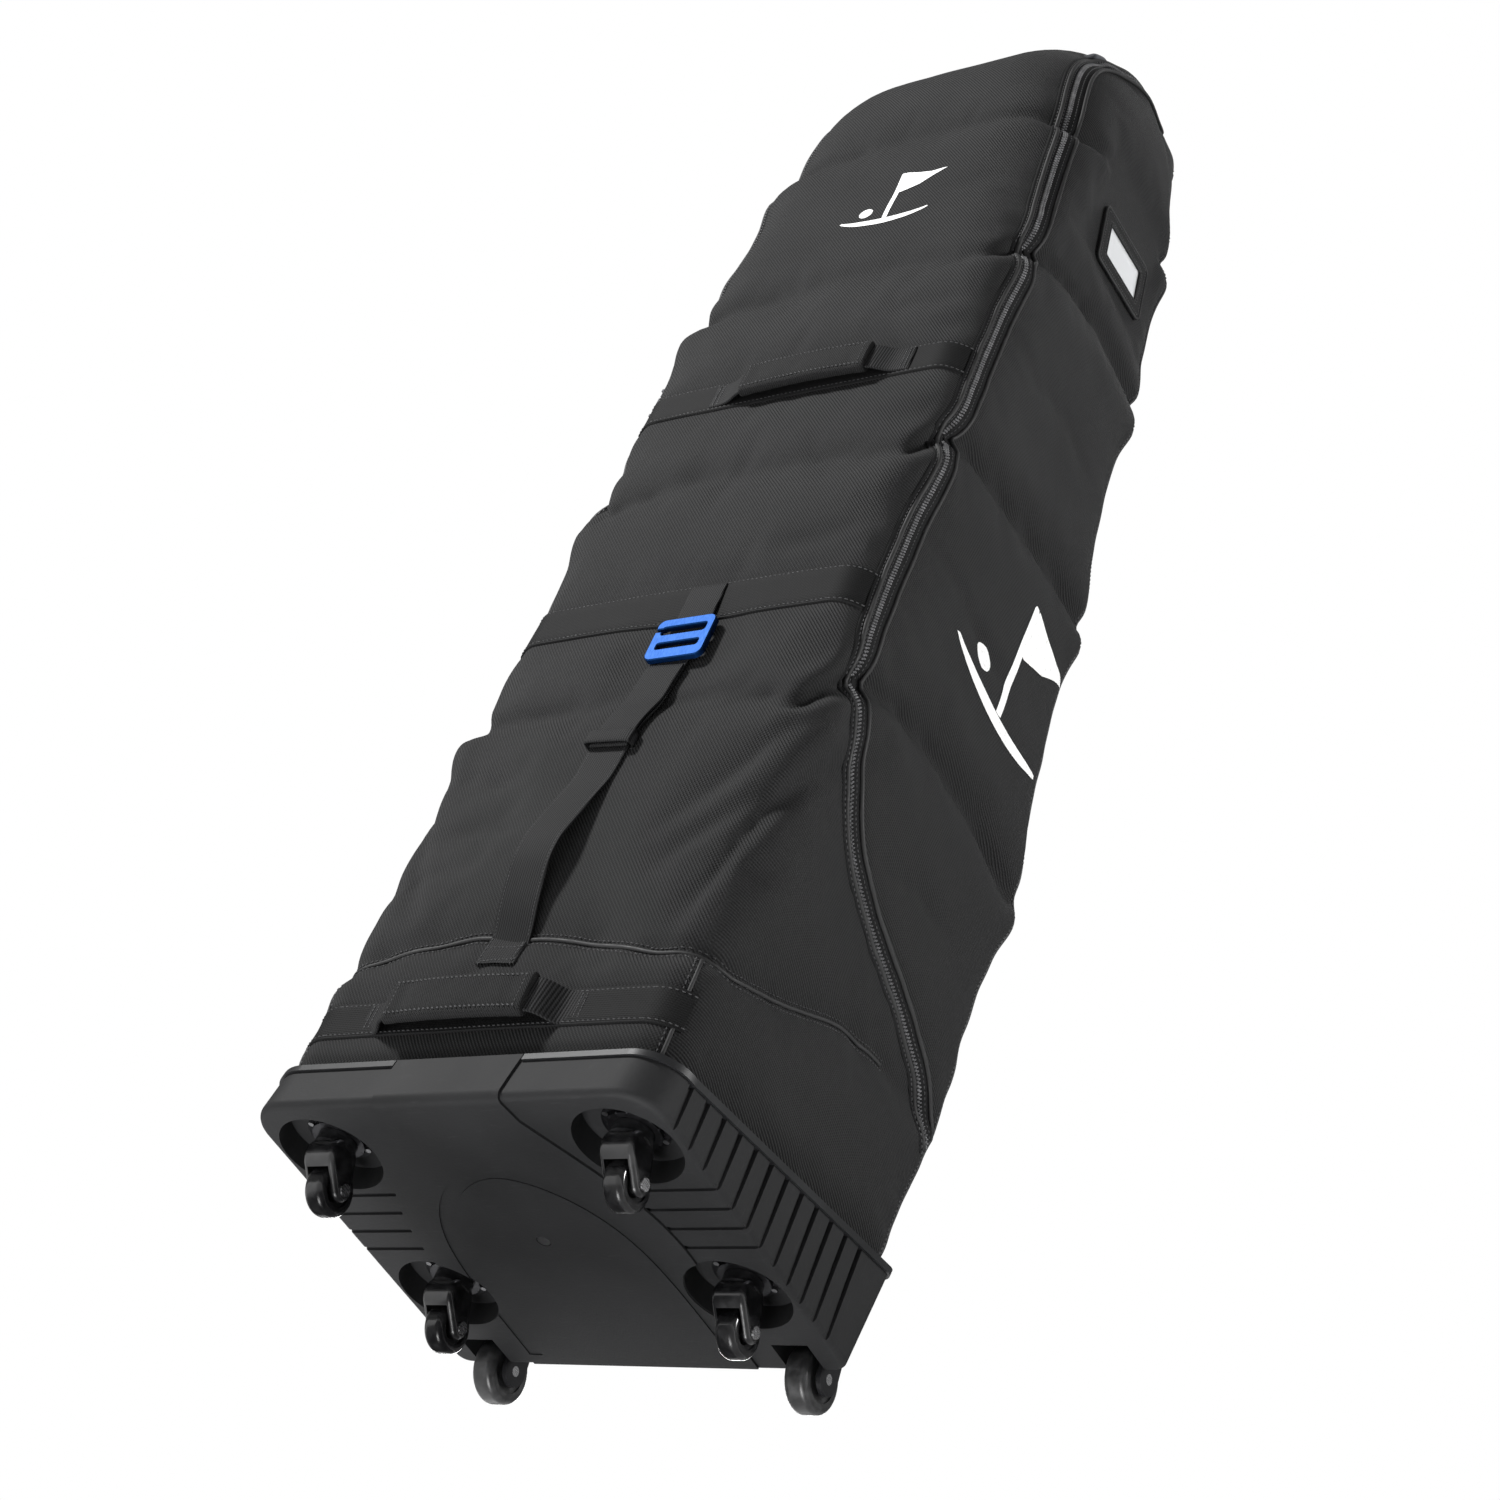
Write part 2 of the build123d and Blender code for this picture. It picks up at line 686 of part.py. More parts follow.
def build_pieces():
    pieces = {
        "base_tray": base_tray(),
        "skid_plate": skid_plate(),
        "rim_bead": rim_bead(),
        "base_screws": base_screws(),
        "caster_plates": caster_plates(),
        "swivel_rings": swivel_rings(),
    }
    for place, (x, y) in caster_places().items():
        pieces[f"caster_fork_{place}"] = caster_fork(x, y)
        pieces[f"caster_axle_{place}"] = caster_axle(x, y)
        pieces[f"caster_wheel_{place}"] = caster_wheel(x, y)
    for side_name, side in (("right", 1), ("left", -1)):
        pieces[f"wheel_housing_{side_name}"] = wheel_housing(side)
        pieces[f"large_axle_{side_name}"] = large_axle(side)
        pieces[f"large_wheel_{side_name}"] = large_wheel(side)
    front = (-200, -100)
    half_gap = fold_gap / 2
    pieces["boot_front"] = shell_strip(front, (shell_bottom, fold_height - half_gap))
    pieces["lid_panel"] = shell_strip(front, (fold_height + half_gap, lid_top_start))
    pieces["lid_top"] = shell_strip((-200, lid_rear_y), (lid_top_start, shell_top + 5))
    pieces["back_panel"] = shell_strip((lid_rear_y + panel_gap, 200), (shell_bottom, shell_top + 5))
    core = side_core() - zip_slot()
    pieces.update(on_both_sides("side_panel", core - under_zip()))
    pieces.update(on_both_sides("boot_side", core & under_zip()))
    pieces.update(on_both_sides("zip_track", zip_track()))
    pieces["zip_slider_upper"] = zip_slider(slider_upper_z, 1)
    pieces["zip_slider_lower"] = zip_slider(slider_lower_z, -1)
    pieces["zip_pull_upper"] = zip_pull(slider_upper_z, 1)
    pieces["zip_pull_lower"] = zip_pull(slider_lower_z, -1)
    pieces["lower_band"] = front_band(lower_band_z)
    pieces["middle_band"] = front_band(middle_band_z)
    pieces["upper_band"] = front_band(upper_band_z)
    pieces["lower_grip"] = grip_sleeve(lower_grip_x, lower_grip_z, lower_grip_front)
    pieces["lower_grip_tabs"] = grip_tabs(lower_grip_x, lower_grip_z, lower_grip_front)
    pieces["upper_grip"] = grip_sleeve(upper_grip_x, upper_grip_z, upper_grip_front)
    pieces["upper_grip_tabs"] = grip_tabs(upper_grip_x, upper_grip_z, upper_grip_front)
    pieces["lash_strap_lower"] = lash_strap_lower()
    pieces["lash_strap_upper"] = lash_strap_upper()
    pieces["strap_keeper"] = strap_keeper()
    pieces["hook_buckle"] = hook_buckle()
    pieces["buckle_loop"] = buckle_loop()
    pieces["id_pocket"] = id_frame()
    pieces["id_window"] = id_window()
    pieces["id_card"] = id_card()
    pieces["base_liner"] = base_liner()
    pieces["back_board"] = back_board()
    pieces["top_pad"] = top_pad()
    pieces["inner_straps"] = inner_straps()
    pieces["inner_buckles"] = inner_buckles()
    return pieces


os.makedirs("parts", exist_ok=True)
for name, shape in build_pieces().items():
    export_step(shape, f"parts/{name}.step")
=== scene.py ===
import math

import bmesh
import bpy
import numpy as np
from mathutils import Matrix, Vector, noise
from mathutils.bvhtree import BVHTree
from mathutils.geometry import delaunay_2d_cdt
from mathutils.kdtree import KDTree


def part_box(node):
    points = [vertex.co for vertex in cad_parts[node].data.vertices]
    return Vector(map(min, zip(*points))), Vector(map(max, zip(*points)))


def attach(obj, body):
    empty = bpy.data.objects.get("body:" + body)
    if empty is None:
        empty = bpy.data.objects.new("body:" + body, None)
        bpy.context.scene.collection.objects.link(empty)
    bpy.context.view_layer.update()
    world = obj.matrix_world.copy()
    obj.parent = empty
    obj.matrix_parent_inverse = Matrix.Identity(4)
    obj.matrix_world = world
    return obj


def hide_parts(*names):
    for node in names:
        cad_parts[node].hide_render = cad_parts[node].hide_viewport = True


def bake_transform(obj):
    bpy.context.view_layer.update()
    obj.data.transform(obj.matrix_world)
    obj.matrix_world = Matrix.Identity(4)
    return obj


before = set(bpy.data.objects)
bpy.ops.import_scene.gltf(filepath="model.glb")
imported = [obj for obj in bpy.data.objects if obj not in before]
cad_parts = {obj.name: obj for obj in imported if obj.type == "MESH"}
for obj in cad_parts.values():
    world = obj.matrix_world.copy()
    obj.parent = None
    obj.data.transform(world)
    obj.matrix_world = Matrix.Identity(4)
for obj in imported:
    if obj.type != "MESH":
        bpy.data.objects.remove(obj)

# The shapes below are worked out in millimetres and become metres when a mesh is made.
MM = 0.001
scene = bpy.context.scene
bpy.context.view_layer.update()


def box_mm(node):
    """Lowest and highest corner of a CAD node, in millimetres."""
    low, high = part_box(node)
    return np.array(low) / MM, np.array(high) / MM


def unit(vectors):
    vectors = np.asarray(vectors, float)
    return vectors / np.maximum(np.linalg.norm(vectors, axis=-1, keepdims=True), 1e-9)


# ---------------------------------------------------------------- driving sizes, mm
half_width = box_mm("back_panel")[1][0]
front_y = box_mm("lid_panel")[0][1]
top_z = box_mm("lid_top")[1][2]
bottom_z = box_mm("back_panel")[0][2]
top_front_round = 158.0
top_rear_round = 38.0
dome_centre = (front_y + top_front_round, top_z - top_front_round)
rear_heights = (40.0, 132.0, 300.0, 480.0, 1403.0)
rear_depths = (143.0, 153.0, 174.0, 174.0, 50.4)
rear_corner = 12.0
rim_level, rim_knee, rim_back, rim_back_y = 75.0, -126.0, 126.0, 160.0
zip_y = -128.0
zip_sweep = [(162, 245), (123, 281), (59, 306), (1, 324), (-57, 351), (-92, 400), (-114, 452),
             (zip_y, 505)]
lid_rear_y = box_mm("lid_top")[1][1]
wall = 7.0
webbing = 1.8


# ---------------------------------------------------------------- node materials
def node(tree, kind, inputs=None, **settings):
    """A shader node; each input is a value or another node's output."""
    made = tree.nodes.new(kind)
    for key, value in settings.items():
        setattr(made, key, value)
    for key, value in (inputs or {}).items():
        if isinstance(value, bpy.types.NodeSocket):
            tree.links.new(value, made.inputs[key])
        else:
            made.inputs[key].default_value = value
    return made


def maths(tree, operation, a, b=0.0, c=0.5):
    return node(tree, "ShaderNodeMath", {0: a, 1: b, 2: c}, operation=operation).outputs[0]


def position(tree, scale=(1, 1, 1), turn=(0, 0, 0)):
    """Object coordinates, which are the frame's own, scaled and turned."""
    coordinates = node(tree, "ShaderNodeTexCoord").outputs["Object"]
    mapping = node(tree, "ShaderNodeMapping", {"Vector": coordinates, "Scale": scale, "Rotation": turn})
    return mapping.outputs[0]


def speckle(tree, scale, detail=4.0, stretch=(1, 1, 1), turn=(0, 0, 0)):
    place = position(tree, stretch, turn)
    return node(tree, "ShaderNodeTexNoise", {"Vector": place, "Scale": scale, "Detail": detail}).outputs[0]


def ramp(tree, factor, low, high, dark, light):
    """Colour going from dark to light while factor goes from low to high."""
    made = node(tree, "ShaderNodeValToRGB", {"Fac": factor})
    first, last = made.color_ramp.elements
    first.position, last.position = low, high
    first.color, last.color = (*dark, 1), (*light, 1)
    return made.outputs[0]


def ribs(tree, direction, pitch):
    """Fine parallel ribs, 0 to 1, across a direction in the frame, pitch in millimetres."""
    coordinates = node(tree, "ShaderNodeTexCoord").outputs["Object"]
    along = node(tree, "ShaderNodeVectorMath", {0: coordinates, 1: direction}, operation="DOT_PRODUCT")
    turns = maths(tree, "MULTIPLY", along.outputs["Value"], 2 * math.pi / (pitch * MM))
    wave = maths(tree, "SINE", turns)
    return maths(tree, "MULTIPLY_ADD", wave, 0.5, 0.5)


def mix(tree, factor, a, b):
    """Two values mixed by a factor."""
    return node(tree, "ShaderNodeMix", {"Factor": factor, 2: a, 3: b}, data_type="FLOAT").outputs[0]


def mix_colour(tree, factor, a, b, blend="MIX"):
    """Two colours mixed; sockets 6 and 7 are the Mix node's colours."""
    made = node(tree, "ShaderNodeMix", {0: factor, 6: a, 7: b}, data_type="RGBA", blend_type=blend)
    return made.outputs[2]


def spread(tree, value, low, high):
    """A value between 0 and 1 spread from low to high."""
    return node(tree, "ShaderNodeMapRange", {"Value": value, "To Min": low, "To Max": high}).outputs[0]


def new_material(name):
    """A new material with its node tree and its shader."""
    material = bpy.data.materials.new(name)
    material.use_nodes = True
    return material, material.node_tree, material.node_tree.nodes["Principled BSDF"]


def bump(tree, shader, height, distance):
    """Surface relief, its depth in millimetres."""
    made = node(tree, "ShaderNodeBump", {"Height": height, "Distance": distance * MM, "Strength": 1.0})
    tree.links.new(made.outputs[0], shader.inputs["Normal"])


def sideways(tree, low=0.55, high=0.8):
    """1 where a surface faces left or right, 0 where it faces forward, back or up."""
    normal = node(tree, "ShaderNodeNewGeometry").outputs["Normal"]
    across = node(tree, "ShaderNodeSeparateXYZ", {0: normal}).outputs[0]
    facing = maths(tree, "ABSOLUTE", across)
    made = node(tree, "ShaderNodeMapRange", {"Value": facing, "From Min": low, "From Max": high})
    return made.outputs[0]


side_weave = (0.0, 0.28, 0.96)
weave_pitch = 2.3


def twill_material(name, dark, light, pitch=weave_pitch):
    """Ballistic twill: diagonal ribs on the front and back, level ribs on the sides."""
    material, tree, shader = new_material(name)
    rib = mix(tree, sideways(tree), ribs(tree, (0.80, 0.1, 0.60), pitch), ribs(tree, side_weave, pitch))
    front_cross = ribs(tree, (0.6, 0.1, -0.8), pitch * 0.8)
    cross = mix(tree, sideways(tree), front_cross, ribs(tree, (0.3, 0.95, -0.1), pitch))
    weave = maths(tree, "MULTIPLY_ADD", cross, 0.25, 0.0)
    height = maths(tree, "ADD", rib, weave)
    fuzz = speckle(tree, 900.0, 2.0)
    tone = speckle(tree, 9.0, 5.0)
    # The colour follows the ribs: painted shade in the grooves between them, painted light on their crests;
    # the patches and fuzz below are random tone.
    base = ramp(tree, rib, 0.1, 0.9, dark, light)
    patches = ramp(tree, tone, 0.3, 0.75, (0.55, 0.55, 0.56), (1, 1, 1))
    mottled = mix_colour(tree, 0.35, base, patches, "MULTIPLY")
    dust = ramp(tree, fuzz, 0.35, 0.7, (0.5, 0.5, 0.5), (1.3, 1.3, 1.3))
    dusted = mix_colour(tree, 0.25, mottled, dust, "MULTIPLY")
    tree.links.new(dusted, shader.inputs["Base Color"])
    tree.links.new(spread(tree, tone, 0.62, 0.86), shader.inputs["Roughness"])
    shader.inputs["Specular IOR Level"].default_value = 0.24
    shader.inputs["Sheen Weight"].default_value = 0.02
    shader.inputs["Sheen Roughness"].default_value = 0.5
    bump(tree, shader, maths(tree, "ADD", height, maths(tree, "MULTIPLY", fuzz, 0.5)), 0.5)
    return material


def webbing_material(name, dark, light, direction=(0, 0, 1), pitch=1.9):
    """Woven webbing: fine ribs, a herringbone break and slightly shiny yarn."""
    material, tree, shader = new_material(name)
    rib = ribs(tree, direction, pitch)
    cross = ribs(tree, (0.7, 0.1, 0.7), pitch * 0.9)
    height = maths(tree, "ADD", rib, maths(tree, "MULTIPLY", cross, 0.4))
    tone = speckle(tree, 25.0, 4.0)
    # The colour follows the height of the weave: painted shade in its grooves, painted light on its ribs.
    base = ramp(tree, height, 0.2, 1.2, dark, light)
    patches = ramp(tree, tone, 0.35, 0.7, (0.6, 0.6, 0.6), (1, 1, 1))
    shade = mix_colour(tree, 0.3, base, patches, "MULTIPLY")
    tree.links.new(shade, shader.inputs["Base Color"])
    shader.inputs["Roughness"].default_value = 0.7
    shader.inputs["Specular IOR Level"].default_value = 0.16
    bump(tree, shader, height, 0.25)
    return material


def moulded_material(name, dark, light, rough=(0.38, 0.55), grain=420.0, depth=0.10, scuffs=0.5):
    """Moulded plastic: fine spark-eroded grain, faint flow marks, scuffed and dusty patches."""
    material, tree, shader = new_material(name)
    fine = speckle(tree, grain, 3.0)
    flow = speckle(tree, 14.0, 6.0, (1, 1, 0.5))
    scratch = speckle(tree, 55.0, 8.0, (1, 7, 1), (0, 0, 0.6))
    base = ramp(tree, flow, 0.3, 0.72, dark, light)
    worn = ramp(tree, scratch, 0.60, 0.78, (0, 0, 0), (scuffs, scuffs, scuffs))
    wear = mix_colour(tree, worn, base, (light[0] * 1.7, light[1] * 1.7, light[2] * 1.7, 1))
    tree.links.new(wear, shader.inputs["Base Color"])
    tree.links.new(spread(tree, flow, *rough), shader.inputs["Roughness"])
    shader.inputs["Specular IOR Level"].default_value = 0.22
    bump(tree, shader, fine, depth)
    return material


def gloss_material(name, colour, rough, coat=0.4):
    """Glossy moulded or rubber parts with a little dust and swirl in the polish."""
    material, tree, shader = new_material(name)
    dust = speckle(tree, 130.0, 6.0)
    base = ramp(tree, dust, 0.45, 0.8, colour, tuple(c * 2.2 + 0.01 for c in colour))
    tree.links.new(base, shader.inputs["Base Color"])
    tree.links.new(spread(tree, dust, rough * 0.7, rough * 1.5), shader.inputs["Roughness"])
    shader.inputs["Coat Weight"].default_value = coat
    shader.inputs["Coat Roughness"].default_value = 0.12
    bump(tree, shader, speckle(tree, 260.0, 2.0), 0.03)
    return material


def metal_material(name, colour, rough, brushed=(1, 1, 12)):
    """Brushed metal."""
    material, tree, shader = new_material(name)
    lines = speckle(tree, 180.0, 4.0, brushed)
    base = ramp(tree, lines, 0.3, 0.75, tuple(c * 0.72 for c in colour), colour)
    tree.links.new(base, shader.inputs["Base Color"])
    tree.links.new(spread(tree, lines, rough * 0.7, rough * 1.4), shader.inputs["Roughness"])
    shader.inputs["Metallic"].default_value = 1.0
    bump(tree, shader, lines, 0.03)
    return material


def quilted_material(name, dark, light, pitch=42.0):
    """Brushed lining fabric, quilted in diamonds."""
    material, tree, shader = new_material(name)
    one = ribs(tree, (0.707, 0.5, 0.707), pitch)
    other = ribs(tree, (-0.707, -0.5, 0.707), pitch)
    puff = maths(tree, "POWER", maths(tree, "MULTIPLY", one, other), 0.35)
    fine = ribs(tree, (0.3, 0.4, 0.9), 1.6)
    tone = speckle(tree, 160.0, 4.0)
    # The colour follows the quilting's puff, with random tone: painted shade in the stitched valleys between
    # the diamonds.
    base = ramp(tree, maths(tree, "MULTIPLY", puff, tone), 0.05, 0.6, dark, light)
    tree.links.new(base, shader.inputs["Base Color"])
    shader.inputs["Roughness"].default_value = 0.85
    shader.inputs["Sheen Weight"].default_value = 0.2
    bump(tree, shader, maths(tree, "ADD", puff, maths(tree, "MULTIPLY", fine, 0.05)), 2.0)
    return material


def clear_material(name):
    """Hazy clear sheet."""
    material, tree, shader = new_material(name)
    haze = speckle(tree, 60.0, 5.0)
    shader.inputs["Base Color"].default_value = (0.92, 0.93, 0.94, 1)
    tree.links.new(spread(tree, haze, 0.08, 0.3), shader.inputs["Roughness"])
    shader.inputs["Alpha"].default_value = 0.35
    bump(tree, shader, haze, 0.2)
    return material


def card_material(name):
    """Pale address card with faint printed rules."""
    material, tree, shader = new_material(name)
    rule = ribs(tree, (0.0, -0.208, 0.978), 11.0)
    line = ramp(tree, rule, 0.0, 0.045, (0.42, 0.43, 0.45), (0.62, 0.63, 0.64))
    fibre = ramp(tree, speckle(tree, 500.0, 4.0), 0.3, 0.7, (0.85, 0.85, 0.85), (1, 1, 1))
    tree.links.new(mix_colour(tree, 0.6, line, fibre, "MULTIPLY"), shader.inputs["Base Color"])
    shader.inputs["Roughness"].default_value = 0.7
    return material


def thread_material(name, dark, light):
    """Twisted sewing thread."""
    material, tree, shader = new_material(name)
    twist = ribs(tree, (0.6, 0.5, 0.62), 0.8)
    # The colour follows the twist: painted shade between the plies, painted light on them.
    tree.links.new(ramp(tree, twist, 0.2, 0.9, dark, light), shader.inputs["Base Color"])
    shader.inputs["Roughness"].default_value = 0.5
    bump(tree, shader, twist, 0.1)
    return material


def print_material(name):
    """White screen print, thin enough for the weave to show through."""
    material, tree, shader = new_material(name)
    weave = ribs(tree, side_weave, weave_pitch)
    cracks = speckle(tree, 300.0, 5.0)
    base = ramp(tree, cracks, 0.28, 0.45, (0.62, 0.62, 0.61), (0.86, 0.86, 0.85))
    tree.links.new(base, shader.inputs["Base Color"])
    shader.inputs["Roughness"].default_value = 0.55
    bump(tree, shader, maths(tree, "ADD", weave, cracks), 0.2)
    return material


fabric = twill_material("twill_fabric", (0.0014, 0.0014, 0.0016), (0.0135, 0.0136, 0.0142))
fabric_smooth = twill_material("grip_fabric", (0.0012, 0.0012, 0.0014), (0.0085, 0.0086, 0.0090), 1.6)
band_webbing = webbing_material("webbing", (0.0008, 0.0008, 0.0009), (0.0062, 0.0063, 0.0066))
strap_webbing = webbing_material("strap_webbing", (0.0022, 0.0022, 0.0023),
                                 (0.0190, 0.0192, 0.0200), (0.9, 0.0, -0.1))
zip_tape_look = webbing_material("zip_tape", (0.001, 0.001, 0.0012),
                                 (0.009, 0.009, 0.0095), (0.1, 0.4, 0.9), 1.4)
piping_look = gloss_material("piping", (0.0035, 0.0035, 0.0038), 0.6, 0.0)
teeth_look = gloss_material("zip_teeth", (0.075, 0.075, 0.078), 0.4, 0.1)
thread = thread_material("thread", (0.006, 0.006, 0.0065), (0.045, 0.045, 0.048))
lining = quilted_material("lining", (0.012, 0.013, 0.016), (0.06, 0.064, 0.075))
print_look = print_material("white_print")
cad_looks = {
    "liner_board": moulded_material("board", (0.02, 0.02, 0.022), (0.035, 0.035, 0.038),
                                    (0.6, 0.8), 900.0, 0.2, 0.2),
    "moulded_base": moulded_material("moulded_base", (0.0078, 0.0079, 0.0084),
                                     (0.0125, 0.0127, 0.0135), (0.60, 0.76)),
    "rim_rail": moulded_material("rim_rail", (0.010, 0.0102, 0.011), (0.016, 0.0165, 0.0175),
                                 (0.34, 0.46), 500.0, 0.05),
    "black_plastic": moulded_material("black_plastic", (0.007, 0.007, 0.0078),
                                      (0.014, 0.014, 0.015), (0.3, 0.42)),
    "gloss_black": gloss_material("gloss_black", (0.006, 0.006, 0.0065), 0.2),
    "gloss_wheel": gloss_material("gloss_wheel", (0.005, 0.005, 0.0055), 0.18),
    "wheel_rubber": gloss_material("wheel_rubber", (0.010, 0.010, 0.0105), 0.36, 0.1),
    "steel": metal_material("steel", (0.62, 0.62, 0.63), 0.25),
    "dark_steel": metal_material("dark_steel", (0.035, 0.035, 0.038), 0.4),
    "blue_anodised": metal_material("blue_anodised", (0.007, 0.040, 0.15), 0.48, (10, 1, 1)),
    "dark_metal": metal_material("dark_metal", (0.07, 0.07, 0.075), 0.3),
    "clear_sheet": clear_material("clear_sheet"),
    "card": card_material("card"),
    "fabric": fabric,
    "webbing": band_webbing,
    "zip": zip_tape_look,
    "lining": lining,
}
# The swivel rings get a dark metal colour that paints in the shade inside the caster cups.
ring_look = metal_material("swivel_ring", (0.055, 0.055, 0.06), 0.35)
screw_look = metal_material("screw_steel", (0.30, 0.30, 0.31), 0.3)
for cad_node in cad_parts.values():
    for material_slot in cad_node.material_slots:
        material_slot.material = cad_looks[material_slot.material.name.split(".")[0]]
for name, look in (("swivel_rings", ring_look), ("base_screws", screw_look)):
    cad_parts[name].material_slots[0].material = look


# ---------------------------------------------------------------- mesh helpers
def mesh_piece(name, points, faces, materials, smooth=True):
    """A mesh object from points in millimetres."""
    mesh = bpy.data.meshes.new(name)
    mesh.from_pydata([tuple(point) for point in np.asarray(points, float) * MM], [], faces)
    mesh.update()
    for material in materials:
        mesh.materials.append(material)
    if smooth:
        mesh.shade_smooth()
    piece = bpy.data.objects.new(name, mesh)
    scene.collection.objects.link(piece)
    return piece


def grid_faces(rows, columns, closed=False, first=0):
    """Faces of a grid of points kept row by row."""
    wrap = columns if closed else columns - 1
    faces = []
    for row in range(rows - 1):
        for column in range(wrap):
            a = first + row * columns + column
            b = first + row * columns + (column + 1) % columns
            faces.append((a, b, b + columns, a + columns))
    return faces


def close_up(piece):
    """Outward normals on a closed mesh."""
    shape = bmesh.new()
    shape.from_mesh(piece.data)
    bmesh.ops.recalc_face_normals(shape, faces=shape.faces)
    shape.to_mesh(piece.data)
    shape.free()
    return piece


def baked(piece):
    """The piece with its modifiers applied."""
    depsgraph = bpy.context.evaluated_depsgraph_get()
    mesh = bpy.data.meshes.new_from_object(piece.evaluated_get(depsgraph))
    piece.modifiers.clear()
    piece.data = mesh
    return piece


def subdivided(piece):
    """The piece subdivided once and smoothed."""
    modifier = piece.modifiers.new("smooth", "SUBSURF")
    modifier.levels = 1
    modifier.render_levels = 1
    return baked(piece)


def finish_piece(piece, body, replaced=(), to_body=None):
    """Hang a piece on its body, or, when to_body is given, only bake its transform; hide the CAD nodes it
    replaces.
    """
    if to_body:
        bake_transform(piece)
    else:
        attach(piece, body)
    if replaced:
        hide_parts(*replaced)


def resampled(points, step):
    """A polyline with points every step millimetres."""
    points = np.asarray(points, float)
    lengths = np.concatenate([[0], np.cumsum(np.linalg.norm(np.diff(points, axis=0), axis=1))])
    count = max(2, int(round(lengths[-1] / step)) + 1)
    wanted = np.linspace(0, lengths[-1], count)
    return np.stack([np.interp(wanted, lengths, points[:, k]) for k in range(points.shape[1])], axis=1)


def eased(points, rounds):
    """A polyline with its corners eased, ends kept."""
    points = np.asarray(points, float).copy()
    for _ in range(rounds):
        points[1:-1] = 0.25 * points[:-2] + 0.5 * points[1:-1] + 0.25 * points[2:]
    return points


def tangents(points):
    """Unit directions along a polyline."""
    return unit(np.gradient(np.asarray(points, float), axis=0))


forward = (0.0, -1.0, 0.0)


def facing(direction, path):
    """One direction repeated for each point of a path."""
    return np.tile(direction, (len(path), 1))


def arc(centre, across, upward, angles):
    """Points of an ellipse with these two radii at these angles."""
    return [(centre[0] + across * math.cos(a), centre[1] + upward * math.sin(a)) for a in angles]


# ---------------------------------------------------------------- the bag's outline
def rear_line(z):
    """Depth of the back at height z, its bends eased, with the round at the top."""
    z = np.asarray(z, float)
    offsets = np.linspace(-60, 60, 9)
    soft = np.mean([np.interp(z + offset, rear_heights, rear_depths) for offset in offsets], axis=0)
    straight = np.interp(z, rear_heights, rear_depths)
    line = np.where(z > 1300, straight, soft)
    rise = np.clip(z - (top_z - top_rear_round), 0, top_rear_round)
    crown = rear_depths[-1] - top_rear_round + 0.35 + np.sqrt(top_rear_round ** 2 - rise ** 2)
    return np.where(z > rear_heights[-1], crown, line)


def front_line(z):
    """Depth of the front at height z, with the dome of the lid at the top."""
    z = np.asarray(z, float)
    rise = np.clip(z - dome_centre[1], 0, top_front_round)
    return dome_centre[0] - np.sqrt(top_front_round ** 2 - rise ** 2)


def half_width_at(z):
    """Half width of the bag, drawn in towards the crown."""
    z = np.asarray(z, float)
    crown_round, narrowing, narrowing_z = 42.0, 24.0, 1180.0
    lean = np.clip((z - narrowing_z) / (top_z - narrowing_z), 0, 1)
    rise = np.clip(z - (top_z - crown_round), 0, crown_round)
    return half_width - narrowing * lean ** 2 - (crown_round - np.sqrt(crown_round ** 2 - rise ** 2))


def corner_radii(z):
    """Radii of the front and the rear corners; the front ones grow rounder over the lid's dome."""
    most = 0.46 * (rear_line(z) - front_line(z))
    front = np.minimum(np.interp(z, (900, 1010, 1250, top_z), (28, 36, 76, 90)), most)
    return front, np.minimum(rear_corner, most)


# Steps across half the front, round a corner, along the side, round a corner, across half the back.
ring_parts = (17, 8, 28, 6, 21)
ring_half = sum(ring_parts)
ring_count = 2 * ring_half


def quarter(centre, radius, begin, steps):
    """A quarter turn from the angle begin, without its last point."""
    return arc(centre, radius, radius, np.linspace(begin, begin + math.pi / 2, steps + 1)[:-1])


def ring(z):
    """One level section of the bag: right half from front to back, then the left half mirrored."""
    near, far, wide = float(front_line(z)), float(rear_line(z)), float(half_width_at(z))
    front_round, rear_round = (float(radius) for radius in corner_radii(z))
    flat, turn, side, back_turn, back = ring_parts
    right = [(x, near) for x in np.linspace(0, wide - front_round, flat + 1)[:-1]]
    right += quarter((wide - front_round, near + front_round), front_round, -math.pi / 2, turn)
    right += [(wide, y) for y in np.linspace(near + front_round, far - rear_round, side + 1)[:-1]]
    right += quarter((wide - rear_round, far - rear_round), rear_round, 0, back_turn)
    right += [(x, far) for x in np.linspace(wide - rear_round, 0, back + 1)]
    left = [(-x, y) for x, y in right[-2:0:-1]]
    return [(x, y, z) for x, y in right + left]


def side_point(side, y, z):
    """The point of the undisturbed bag at depth y and height z, on the right (1) or left (-1) side."""
    near, wide = float(front_line(z)), float(half_width_at(z))
    front_round = float(corner_radii(z)[0])
    depth = max(y - near, 0.0)
    x = wide
    if depth < front_round:
        x = wide - front_round + math.sqrt(front_round ** 2 - (front_round - depth) ** 2)
    return (side * x, y, z)


def zip_outline():
    """The zip line seen from the side, from the low rear end to the crown."""
    sweep = eased(resampled(zip_sweep, 6), 12)
    radius = dome_centre[0] - zip_y
    turn = arc(dome_centre, radius, radius, np.radians(np.linspace(180, 92, 24)))
    crown = [(lid_rear_y - 1, dome_centre[1] + radius + 4), (lid_rear_y, top_z - 8),
             (lid_rear_y, top_z)]
    run = [(zip_y, z) for z in np.arange(zip_sweep[-1][1] + 8, dome_centre[1], 8)]
    return np.array(list(map(tuple, sweep)) + run + turn + crown)


def cut_outline():
    """The line that parts the front shell from the rear shell, seen from the side."""
    low = [(float(rear_line(z)) - 7, z) for z in (20, 90, 160, 225)]
    return np.array(low + list(map(tuple, zip_outline())) + [(lid_rear_y, top_z + 60)])


